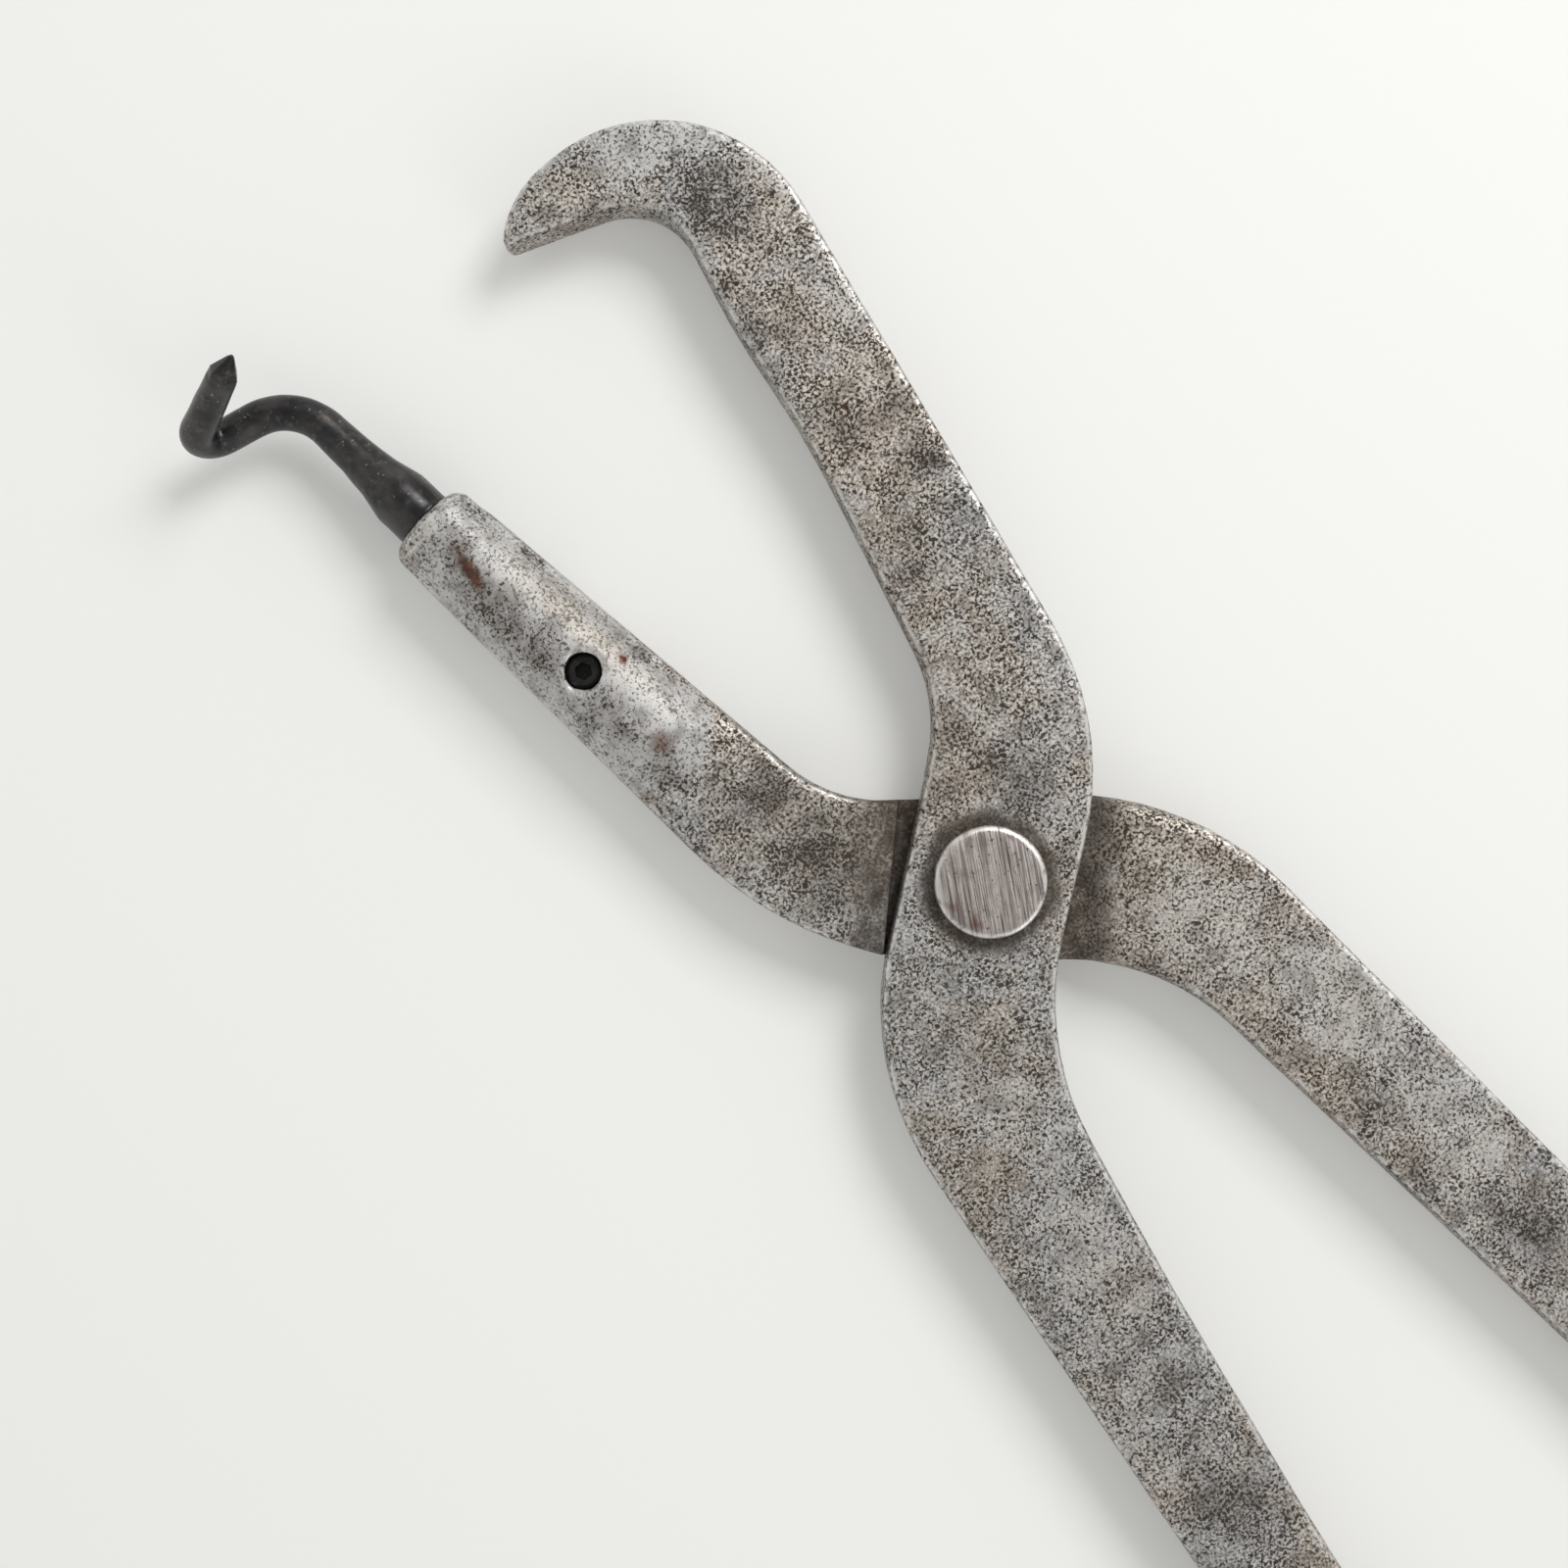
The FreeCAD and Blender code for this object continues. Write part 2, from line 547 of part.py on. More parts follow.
def hook_bend(corner, before, after, rounding, wire):
    """One bend of the hook's wire: where it starts, where it ends, and its solid."""
    arriving = (corner - before).normalize()
    leaving = (after - corner).normalize()
    turn = arriving.getAngle(leaving)
    reach = rounding * math.tan(turn / 2)
    enter = corner - arriving * reach
    leave = corner + leaving * reach
    axis = arriving.cross(leaving).normalize()
    centre = enter + axis.cross(arriving) * rounding
    disc = Part.Face(Part.Wire(Part.makeCircle(wire, enter, arriving)))
    return enter, leave, disc.revolve(centre, axis, math.degrees(turn))


def hook_run(start, end, first_radius, last_radius):
    """A straight stretch of the hook's wire, tapering from one radius to the other."""
    run = end - start
    return Part.makeCone(first_radius, last_radius, run.Length, start, run)


def hook_wire(sheet, shoulder, direction):
    """The solids of the hook's wire, from the shoulder to the tip of its point."""
    flare_end = shoulder + direction * sheet.get("flare_length")
    level = sheet.get("socket_height")
    neck = shoulder + direction * (sheet.get("neck_reach") - sheet.get("shank_shoulder"))
    back = FreeCAD.Vector(sheet.get("return_x"), sheet.get("return_y"), level)
    tip = FreeCAD.Vector(sheet.get("tip_x"), sheet.get("tip_y"), sheet.get("tip_height"))
    neck_wire = sheet.get("neck_wire")
    back_wire = sheet.get("return_wire")
    flare_wire = sheet.get("flare_end_radius")
    neck_start, neck_end, neck_bend = hook_bend(neck, shoulder, back, sheet.get("neck_round"), neck_wire)
    back_start, back_end, back_bend = hook_bend(back, neck, tip, sheet.get("return_round"), back_wire)
    spear_foot = tip - (tip - back_end).normalize() * sheet.get("spear_length")
    return [
        hook_run(shoulder, flare_end, sheet.get("flare_radius"), flare_wire),
        hook_run(flare_end, neck_start, flare_wire, neck_wire),
        neck_bend,
        hook_run(neck_end, back_start, neck_wire, back_wire),
        back_bend,
        hook_run(back_end, spear_foot, back_wire, sheet.get("point_radius")),
        hook_run(spear_foot, tip, sheet.get("spear_radius"), sheet.get("spear_end")),
    ]


def make_hook(doc, sheet):
    """The removable hook: a round shank with a flat, a tapering neck, two bends and a point."""
    hook = doc.addObject("Part::Feature", "spring_hook")
    place = socket_offset(sheet)
    direction = place.Rotation.multVec(FreeCAD.Vector(1, 0, 0))
    tail = place.multVec(FreeCAD.Vector(-sheet.get("shank_depth"), 0, 0))
    shoulder = place.multVec(FreeCAD.Vector(sheet.get("shank_shoulder"), 0, 0))
    radius = sheet.get("shank_radius")
    shank = Part.makeCylinder(radius, (shoulder - tail).Length, tail, direction)
    cutter = Part.makeBox(sheet.get("shank_depth"), 2 * radius, 2 * radius)
    cutter.translate(FreeCAD.Vector(0, -radius, radius - sheet.get("shank_flat")))
    cutter.Placement = FreeCAD.Placement(tail, place.Rotation).multiply(cutter.Placement)
    hook.Shape = shank.cut(cutter).fuse(hook_wire(sheet, shoulder, direction)).removeSplitter()
    return hook


def check(doc, parts):
    """Stop if any object failed, or if any part's shape is not one valid solid."""
    for item in doc.Objects:
        if "Invalid" in item.State or "Error" in item.State:
            raise RuntimeError(f"{item.Label} failed: {item.State}")
    for part in parts:
        shape = part.Shape
        if shape.isNull() or not shape.isValid() or len(shape.Solids) != 1:
            raise RuntimeError(f"{part.Label} is not one valid solid")


def main():
    doc = FreeCAD.newDocument("brake_spring_pliers")
    sheet = fill_sheet(doc)
    parts = [
        make_claw_lever(doc, sheet),
        make_socket_lever(doc, sheet),
        make_rivet(doc, sheet),
        make_hook(doc, sheet),
        make_set_screw(doc, sheet),
    ]
    doc.recompute()
    check(doc, parts)
    os.makedirs("parts", exist_ok=True)
    for part in parts:
        part.Shape.exportStep(f"parts/{part.Label}.step")
        box = part.Shape.BoundBox
        print(part.Label, round(part.Shape.Volume, 1), "X", round(box.XMin, 2), round(box.XMax, 2),
              "Y", round(box.YMin, 2), round(box.YMax, 2), "Z", round(box.ZMin, 2), round(box.ZMax, 2))


main()
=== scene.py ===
import math

import bmesh
import bpy
import numpy as np
from mathutils import Matrix, Vector, noise


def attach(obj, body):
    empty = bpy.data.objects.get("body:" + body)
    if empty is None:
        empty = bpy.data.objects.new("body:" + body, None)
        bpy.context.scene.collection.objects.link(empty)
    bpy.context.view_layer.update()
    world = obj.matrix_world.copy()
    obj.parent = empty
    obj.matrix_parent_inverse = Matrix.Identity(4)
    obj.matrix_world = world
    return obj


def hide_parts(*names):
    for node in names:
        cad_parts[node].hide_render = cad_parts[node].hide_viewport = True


# Brake spring pliers: two pitted steel forgings on one ground rivet, and a black hooked rod that a set
# screw locks in the round socket. Everything is in metres. MM turns a size in millimetres into metres.

MM = 0.001

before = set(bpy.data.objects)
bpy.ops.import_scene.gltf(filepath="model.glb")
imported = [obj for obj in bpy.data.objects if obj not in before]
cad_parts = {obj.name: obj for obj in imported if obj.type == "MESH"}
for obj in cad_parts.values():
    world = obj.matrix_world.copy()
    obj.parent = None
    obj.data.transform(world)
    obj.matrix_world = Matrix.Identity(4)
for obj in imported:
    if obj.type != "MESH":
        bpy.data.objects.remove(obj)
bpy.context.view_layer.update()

# Heights and places shared with the solids, in millimetres. The lap channel runs across the socket lever at
# an angle from +Y: its wall stands on the jaw side of the pivot, and its floor runs out on the other side.
PARTING_HEIGHT = 6.0
LEVER_THICKNESS = 7.2
HALF_THICKNESS = LEVER_THICKNESS / 2
LAP_ANGLE = 44.5
LAP_WALL = 12.1
LAP_RUNOUT = 15.6
RIVET_HEAD_RADIUS = 7.1
SOCKET_MOUTH = Vector((-25.1, 80.2, 6.6))
SOCKET_ANGLE = 6.7
# The set screw's distance back from the socket's mouth.
SCREW_BACK = 28.0
# The socket lever's two sides beside the barrel, as straight lines through two (X, Y) places each.
SOCKET_OUTER_LOW, SOCKET_OUTER_HIGH = (-24.1, 4.85), (-30.9, 76.7)
SOCKET_INNER_LOW, SOCKET_INNER_HIGH = (-8.6, 20.2), (-18.6, 78.1)
SOCKET_AXIS = Vector((-math.sin(math.radians(SOCKET_ANGLE)), math.cos(math.radians(SOCKET_ANGLE)), 0))

# Directions on the bench as the camera sees them: the frame is turned by this much.
CAMERA_TURN = 40.0
CAMERA_RIGHT = Vector((math.cos(math.radians(CAMERA_TURN)), -math.sin(math.radians(CAMERA_TURN)), 0))
CAMERA_UP = Vector((math.sin(math.radians(CAMERA_TURN)), math.cos(math.radians(CAMERA_TURN)), 0))


# ---- Colours and nodes

def linear(code):
    """A colour written as sRGB hex, as the linear RGBA that shaders take."""
    channels = [int(code[index:index + 2], 16) / 255 for index in (1, 3, 5)]
    return [c / 12.92 if c <= 0.04045 else ((c + 0.055) / 1.055) ** 2.4 for c in channels] + [1.0]


def add_node(tree, kind, settings=None, links=None):
    """Add a node, set its properties and unlinked inputs, and link the rest of its inputs."""
    node = tree.nodes.new(kind)
    for name, value in (settings or {}).items():
        if isinstance(name, int) or name in node.inputs:
            node.inputs[name].default_value = value
        else:
            setattr(node, name, value)
    for name, socket in (links or {}).items():
        tree.links.new(socket, node.inputs[name])
    return node


def add_ramp(tree, factor, stops):
    """A colour ramp from a list of (position, hex colour)."""
    ramp = add_node(tree, "ShaderNodeValToRGB", links={"Fac": factor})
    elements = ramp.color_ramp.elements
    while len(elements) < len(stops):
        elements.new(0.5)
    for element, (position, code) in zip(elements, stops):
        element.position = position
        element.color = linear(code)
    return ramp.outputs["Color"]


def add_range(tree, value, low, high, to_low=0.0, to_high=1.0):
    """Map a value from one range to another, held at the ends."""
    settings = {"From Min": low, "From Max": high, "To Min": to_low, "To Max": to_high}
    return add_node(tree, "ShaderNodeMapRange", settings, {"Value": value}).outputs["Result"]


def add_math(tree, operation, first, second):
    """A two-input maths node. Either input is a socket or a number."""
    node = add_node(tree, "ShaderNodeMath", {"operation": operation})
    for slot, value in enumerate((first, second)):
        if isinstance(value, (int, float)):
            node.inputs[slot].default_value = value
        else:
            tree.links.new(value, node.inputs[slot])
    return node.outputs["Value"]


# Where a Mix node keeps its sockets for colours.
MIX_FACTOR, MIX_FIRST, MIX_SECOND, MIX_RESULT = 0, 6, 7, 2


def add_mix(tree, factor, first, second):
    """Mix two colours. Each is a socket or an sRGB hex code, and the factor is a socket or a number."""
    node = add_node(tree, "ShaderNodeMix", {"data_type": "RGBA"})
    for index, value in ((MIX_FACTOR, factor), (MIX_FIRST, first), (MIX_SECOND, second)):
        if isinstance(value, str):
            node.inputs[index].default_value = linear(value)
        elif isinstance(value, (int, float)):
            node.inputs[index].default_value = value
        else:
            tree.links.new(value, node.inputs[index])
    return node.outputs[MIX_RESULT]


# The grain to give coordinates that are already in units of a size. It makes the noise's scale 1.
OWN_SIZE = 1 / MM


def add_noise(tree, coordinates, grain, detail=2.0, distortion=0.0, roughness=0.5):
    """A noise whose lumps are about one grain across, in millimetres."""
    settings = {"Scale": 1 / (grain * MM), "Detail": detail, "Distortion": distortion, "Roughness": roughness}
    return add_node(tree, "ShaderNodeTexNoise", settings, {"Vector": coordinates}).outputs["Fac"]


def turned_coordinates(tree, place, angle, size, centre=(0, 0)):
    """Coordinates from a centre on the bench plane, turned by an angle about Z, in units of a size in
    millimetres along each turned axis."""
    settings = {"vector_type": "TEXTURE", "Rotation": (0, 0, math.radians(angle)),
                "Location": (centre[0] * MM, centre[1] * MM, 0),
                "Scale": tuple(length * MM for length in size)}
    return add_node(tree, "ShaderNodeMapping", settings, {"Vector": place}).outputs["Vector"]


# Half height of a patch: more than any part's, so that a patch goes right through.
ANY_HEIGHT = 1000.0


def add_patches(tree, place, patches, softness):
    """The strongest of a list of oval patches, seen from above. Each has its X, Y, half width, half length,
    turn from +Y and strength. softness is the share of a patch over which it fades out."""
    strongest = 0.0
    for x, y, half_width, half_length, turn, strength in patches:
        oval = turned_coordinates(tree, place, turn, (half_width, half_length, ANY_HEIGHT), (x, y))
        away = add_node(tree, "ShaderNodeVectorMath", {"operation": "LENGTH"}, {0: oval}).outputs["Value"]
        patch = add_range(tree, away, 1.0, 1.0 - softness, 0.0, strength)
        strongest = add_math(tree, "MAXIMUM", strongest, patch)
    return strongest


def new_material(name):
    """A material with only a Principled shader, and its tree and shader."""
    material = bpy.data.materials.new(name)
    material.use_nodes = True
    shader = material.node_tree.nodes["Principled BSDF"]
    return material, material.node_tree, shader


def object_coordinates(tree):
    return add_node(tree, "ShaderNodeTexCoord").outputs["Object"]


def mesh_value(tree, name):
    """A value from 0 to 1 that the mesh carries at each point, such as its wear and painted highlight."""
    return add_node(tree, "ShaderNodeAttribute", {"attribute_name": name}).outputs["Fac"]


def add_bump(tree, height, strength, depth):
    """A normal from a height of 0 to 1 over a depth in millimetres."""
    settings = {"Strength": strength, "Distance": depth * MM}
    return add_node(tree, "ShaderNodeBump", settings, {"Height": height}).outputs["Normal"]


# ---- Materials

# Patches on each lever: X, Y, half width and half length in millimetres, turn from +Y, and strength. Clean
# ones are nearly free of pits, tan ones browner, and smudges sooty, except those along the socket's barrel,
# which paint a dark reflection.
CLAW_PATCHES = {
    "clean": [
        (24.0, 98.5, 3.6, 6.0, 75, 0.7), (31.5, 95.0, 2.2, 6.5, 48, 0.65),
        (36.2, 83.0, 1.8, 9.0, 2, 0.55), (33.5, 66.0, 3.0, 7.0, -10, 0.4),
        (8.0, -12.0, 6.0, 5.0, 0, 0.3), (-17.0, -23.0, 6.0, 9.0, 20, 0.4),
        (-20.5, -41.0, 6.0, 10.0, 10, 0.4), (-30.0, -66.0, 5.0, 6.0, 0, 0.3),
    ],
    "tan": [
        (15.5, 100.0, 4.0, 7.0, 60, 0.9), (29.5, 58.6, 5.0, 6.0, 0, 0.6),
        (-22.0, -50.0, 6.0, 9.0, 20, 0.5),
    ],
    "smudge_and_reflection": [
        (28.0, 87.0, 6.0, 7.5, 20, 1.0), (7.6, 97.2, 0.9, 2.8, 45, 1.0),
        (23.2, 77.4, 1.6, 1.8, 0, 1.0), (22.4, 55.9, 4.5, 5.0, 0, 0.8),
        (27.8, 46.0, 4.0, 4.5, 0, 1.0), (30.0, 52.5, 4.0, 5.0, 0, 0.6),
        (21.5, 42.0, 5.0, 5.0, 0, 0.6), (17.0, 37.0, 5.0, 6.0, 0, 0.7),
        (21.5, 71.5, 3.0, 5.0, 0, 0.7), (10.5, 8.0, 6.0, 7.0, 0, 0.9),
        (-26.5, -79.0, 7.0, 9.0, 20, 0.8), (-36.0, -86.0, 6.0, 9.0, 0, 0.6),
    ],
    "rust": [
        (24.3, 56.7, 0.7, 0.9, 0, 0.9),
    ],
}
SOCKET_PATCHES = {
    "clean": [
        (-22.8, 57.0, 10.5, 26.0, 6.7, 1.0), (-20.6, 41.0, 9.0, 8.0, 6.7, 1.0),
        (18.0, -21.0, 7.0, 9.0, 20, 0.4), (24.0, -39.0, 7.0, 11.0, 5, 0.55),
        (25.0, -60.0, 6.0, 9.0, 0, 0.5),
    ],
    "tan": [
        (-18.5, 58.0, 3.0, 18.0, 6.7, 0.7), (-12.0, 16.0, 9.0, 10.0, 0, 0.8),
        (18.0, -8.0, 6.0, 8.0, 0, 0.8),
    ],
    "smudge_and_reflection": [
        # The first five smudges run along the barrel just left of its axis: a painted dark reflection, not
        # soot.
        (-24.6, 73.6, 3.2, 6.0, 8, 1.0), (-25.4, 66.0, 3.8, 8.0, 4, 1.0),
        (-24.2, 57.0, 3.6, 9.0, 6, 1.0), (-22.9, 46.0, 3.0, 8.0, 3, 0.8),
        (-21.4, 37.0, 3.0, 5.5, 8, 0.9), (-14.5, 26.0, 7.0, 5.5, 0, 1.0),
        (-14.0, 15.5, 8.0, 9.0, 0, 1.0), (18.5, -51.0, 4.0, 6.0, 0, 0.6),
        (24.0, -78.0, 6.0, 8.0, 0, 1.0), (28.0, -84.0, 5.0, 7.0, 0, 0.9),
        (-17.0, 67.8, 1.3, 3.0, 6, 1.0), (-14.4, 50.5, 1.3, 3.0, 8, 1.0),
    ],
    "rust": [
        (-17.1, 50.5, 0.8, 1.0, 0, 1.0), (-20.0, 39.5, 1.7, 2.0, 0, 0.65),
        (-24.6, 70.8, 1.3, 4.0, -5, 0.95),
    ],
}


def ragged_coordinates(tree, place, grain, reach):
    """Coordinates pushed about by noise, so that spots placed with them have torn edges."""
    settings = {"Scale": 1 / (grain * MM), "Detail": 4.0, "Roughness": 0.65}
    warp = add_node(tree, "ShaderNodeTexNoise", settings, {"Vector": place}).outputs["Color"]
    shift = add_node(tree, "ShaderNodeVectorMath", {"operation": "SUBTRACT", 1: (0.5, 0.5, 0.5)},
                     {0: warp}).outputs["Vector"]
    return add_node(tree, "ShaderNodeVectorMath", {"operation": "MULTIPLY_ADD", 1: (reach * MM,) * 3},
                    {0: shift, 2: place}).outputs["Vector"]


# Size of the pits' noise, in millimetres: it gives pits 0.15 to 0.25 mm across.
PIT_GRAIN = 0.38


def etched_pits(tree, place, clean, smudge_and_reflection):
    """How deep the pits are and how high the ridges between them stand, each from 0 to 1. Pits crowd
    together in sooty patches and under the painted dark reflection on the barrel, and in clean ones they are
    few and shallow."""
    crowd = add_range(tree, add_noise(tree, place, 5.0, detail=5.0, roughness=0.6), 0.35, 0.65, 0.412, 0.502)
    crowd = add_math(tree, "ADD", crowd, add_math(tree, "MULTIPLY", smudge_and_reflection, 0.06))
    crowd = add_math(tree, "SUBTRACT", crowd, add_math(tree, "MULTIPLY", clean, 0.045))
    etch = add_noise(tree, place, PIT_GRAIN, detail=1.3, distortion=0.6)
    pits = add_range(tree, add_math(tree, "SUBTRACT", crowd, etch), -0.02, 0.045)
    holes = add_range(tree, add_noise(tree, place, 0.9, detail=2.0), 0.66, 0.70)
    even = add_math(tree, "SUBTRACT", clean, smudge_and_reflection)
    pits = add_math(tree, "MULTIPLY", add_math(tree, "MAXIMUM", pits, holes),
                    add_range(tree, even, 0.4, 1.0, 1.0, 0.65))
    ridges = add_math(tree, "MULTIPLY", add_range(tree, etch, 0.52, 0.64, 0.0, 0.75),
                      add_range(tree, even, 0.4, 1.0, 1.0, 0.35))
    return pits, ridges


def bare_steel_colour(tree, place, clean, tan):
    """Slow changes between cool and warm grey, a few centimetres long, with clean and tan patches."""
    warmth = add_noise(tree, place, 17.0, detail=5.0, roughness=0.6)
    metal = add_ramp(tree, warmth, [(0.42, "#9c9c9c"), (0.52, "#a19a92"), (0.62, "#9f9487")])
    metal = add_mix(tree, add_math(tree, "MULTIPLY", clean, 0.9), metal, "#c6c5c4")
    return add_mix(tree, add_math(tree, "MULTIPLY", tan, 0.75), metal, "#ada292")


def soot_and_reflection_over(tree, place, metal, clean, smudge_and_reflection):
    """Soot and old oil: in the smudges, and in clouds that leave the clean patches mostly free. The smudges
    along the barrel are a painted dark reflection.
    """
    clouds = add_noise(tree, place, 11.0, detail=7.0, roughness=0.72)
    soot_and_reflection = add_range(tree, clouds, 0.53, 0.66, 0.0, 0.55)
    soot_and_reflection = add_math(tree, "MULTIPLY", soot_and_reflection, add_range(tree, clean, 0.0, 1.0, 1.0, 0.2))
    soot_and_reflection = add_math(tree, "MAXIMUM", soot_and_reflection, smudge_and_reflection)
    return add_mix(tree, add_math(tree, "MULTIPLY", soot_and_reflection, 0.65), metal, "#433b34")


def pitted_forging(name, patches):
    """Bare drop-forged steel, etched all over by old rust: grey, as full of small dark pits as a sponge,
    with cleaner, browner and sooty patches, a painted dark reflection along the barrel, dirt and painted
    shade packed into the joint, and edges that handling has worn, lightened further as painted highlights."""
    material, tree, shader = new_material(name)
    place = object_coordinates(tree)
    wear_and_highlight = mesh_value(tree, "wear_and_highlight")
    grime_and_shade = mesh_value(tree, "grime_and_shade")
    ragged = ragged_coordinates(tree, place, 4.0, 6.0)
    clean = add_patches(tree, ragged, patches["clean"], softness=0.25)
    tan = add_patches(tree, ragged, patches["tan"], softness=0.8)
    streaks = add_noise(tree, place, 2.4, detail=7.0, roughness=0.72)
    smudge_and_reflection = add_patches(tree, ragged_coordinates(tree, place, 5.0, 10.0), patches["smudge_and_reflection"], softness=0.85)
    smudge_and_reflection = add_math(tree, "MULTIPLY", smudge_and_reflection, add_range(tree, streaks, 0.36, 0.52, 0.45, 1.0))
    rust = add_patches(tree, ragged_coordinates(tree, place, 0.8, 1.8), patches["rust"], softness=0.6)
    worn_and_highlit_places = add_range(tree, add_noise(tree, place, 1.1, detail=4.0), 0.42, 0.57)
    worn_and_highlit = add_math(tree, "MULTIPLY", wear_and_highlight, worn_and_highlit_places)
    packing = add_range(tree, add_noise(tree, place, 1.6, detail=5.0, roughness=0.7), 0.3, 0.6, 0.65, 1.0)
    dirt_and_shade = add_math(tree, "MULTIPLY", grime_and_shade, packing)

    # Dirt and painted shade fill some of the pits, and wear takes most of them off the edges.
    pits, ridges = etched_pits(tree, place, clean, smudge_and_reflection)
    pits = add_math(tree, "MULTIPLY", pits, add_range(tree, grime_and_shade, 0.2, 0.9, 1.0, 0.5))
    pits = add_math(tree, "MULTIPLY", pits, add_range(tree, worn_and_highlit, 0.1, 0.8, 1.0, 0.3))
    metal = bare_steel_colour(tree, place, clean, tan)
    metal = add_mix(tree, ridges, metal, "#ded8d1")
    metal = add_mix(tree, add_math(tree, "MULTIPLY", pits, 0.94), metal, "#32281f")

    # Over the pits: dull and bright clouds a few millimetres across, soot and a painted dark reflection, worn
    # edges with painted highlights, dirt with painted shade, and rust.
    tone = add_noise(tree, place, 3.4, detail=6.0, roughness=0.68)
    metal = add_mix(tree, add_range(tree, tone, 0.5, 0.36, 0.0, 0.5), metal, "#6b655e")
    metal = add_mix(tree, add_range(tree, tone, 0.52, 0.66, 0.0, 0.4), metal, "#d0cdca")
    metal = soot_and_reflection_over(tree, place, metal, clean, smudge_and_reflection)
    # Worn edges in a pale grey that also paints highlights along them.
    metal = add_mix(tree, add_math(tree, "MULTIPLY", worn_and_highlit, 0.75), metal, "#e6e4e1")
    # Dirt, and in the lap channel painted shade and a painted shadow in the gap.
    metal = add_mix(tree, add_math(tree, "MULTIPLY", dirt_and_shade, 0.88), metal, "#40352a")
    rust_tone = add_mix(tree, add_range(tree, streaks, 0.47, 0.6), "#4a3126", "#7d4a2c")
    metal = add_mix(tree, rust, metal, rust_tone)

    dull = add_math(tree, "MAXIMUM", pits, dirt_and_shade)
    rough = add_math(tree, "MAXIMUM", add_range(tree, dull, 0.0, 1.0, 0.52, 0.8),
                     add_range(tree, clean, 0.0, 1.0, 0.5, 0.62))
    rough = add_math(tree, "SUBTRACT", rough, add_math(tree, "MULTIPLY", worn_and_highlit, 0.2))
    height = add_math(tree, "SUBTRACT", add_math(tree, "MULTIPLY", tone, 0.6), pits)
    # Less than fully metallic, because a thin film of old oil and rust covers the steel.
    shader.inputs["Metallic"].default_value = 0.65
    tree.links.new(metal, shader.inputs["Base Color"])
    tree.links.new(rough, shader.inputs["Roughness"])
    tree.links.new(add_bump(tree, height, 0.6, 0.06), shader.inputs["Normal"])
    return material


# Angle of the grinding scratches on the rivet's head, from +Y, and of the few stray ones across them.
GRINDING_ANGLE = -29.6
STRAY_ANGLE = GRINDING_ANGLE + 25
# Rust on the rivet's head, as patches in the same terms as the levers'.
RIVET_RUST = [(-4.8, -2.6, 1.0, 1.6, -30, 0.75), (-5.9, 1.0, 0.7, 1.2, 0, 0.6), (5.6, 2.6, 0.6, 1.0, 0, 0.6)]


def scratch_noise(tree, place, angle, width, length, detail):
    """A noise drawn out into scratches at an angle from +Y, of a width and length in millimetres."""
    drawn_out = turned_coordinates(tree, place, angle, (width, length, 5.0))
    return add_noise(tree, drawn_out, OWN_SIZE, detail)


def ground_rivet_steel():
    """Steel ground flat with a coarse wheel: warm grey, with straight scratches all one way, a bevel painted
    bright as a worn edge and a painted highlight, and a little rust at the rim. The thin scratches are drawn
    wider than real ones, so that they show."""
    material, tree, shader = new_material("ground_rivet_steel")
    place = object_coordinates(tree)
    broad = scratch_noise(tree, place, GRINDING_ANGLE, 0.7, 16.0, detail=3.0)
    thin = scratch_noise(tree, place, GRINDING_ANGLE, 0.17, 8.0, detail=2.0)
    stray = scratch_noise(tree, place, STRAY_ANGLE, 0.22, 5.0, detail=2.0)
    metal = add_ramp(tree, broad, [(0.35, "#8c817c"), (0.5, "#aea39d"), (0.65, "#cec6c1")])
    metal = add_mix(tree, add_range(tree, thin, 0.54, 0.63, 0.0, 0.85), metal, "#ece7e4")
    metal = add_mix(tree, add_range(tree, thin, 0.42, 0.35, 0.0, 0.9), metal, "#483d38")
    metal = add_mix(tree, add_range(tree, stray, 0.66, 0.72, 0.0, 0.7), metal, "#4a403b")
    haze = add_range(tree, add_noise(tree, place, 3.0, detail=6.0, roughness=0.7), 0.47, 0.66)
    metal = add_mix(tree, add_math(tree, "MULTIPLY", haze, 0.6), metal, "#84746b")
    specks = add_range(tree, add_noise(tree, place, 0.6, detail=3.0), 0.645, 0.70)
    metal = add_mix(tree, add_math(tree, "MULTIPLY", specks, 0.85), metal, "#4a362d")
    rust = add_patches(tree, ragged_coordinates(tree, place, 1.2, 2.0), RIVET_RUST, softness=0.8)
    metal = add_mix(tree, rust, metal, "#6b4032")
    # The bevel's brightness: wear and a painted highlight.
    worn_and_highlit_places = add_range(tree, add_noise(tree, place, 1.2, detail=3.0), 0.34, 0.5)
    bright = add_math(tree, "MULTIPLY", mesh_value(tree, "wear_and_highlight"), worn_and_highlit_places)
    metal = add_mix(tree, add_math(tree, "MULTIPLY", bright, 0.75), metal, "#eceae8")
    shader.inputs["Metallic"].default_value = 0.85
    shader.inputs["Roughness"].default_value = 0.38
    tree.links.new(metal, shader.inputs["Base Color"])
    tree.links.new(add_bump(tree, thin, 0.6, 0.04), shader.inputs["Normal"])
    return material


# Shades of black oxide from dark to light: the hook is rubbed paler, and the screw's are darker as painted
# shade, for the deep hole it sits in.
HOOK_BLACK = ("#242325", "#333233", "#474543")
SCREW_BLACK_SHADED = ("#141414", "#1c1b1b", "#282726")


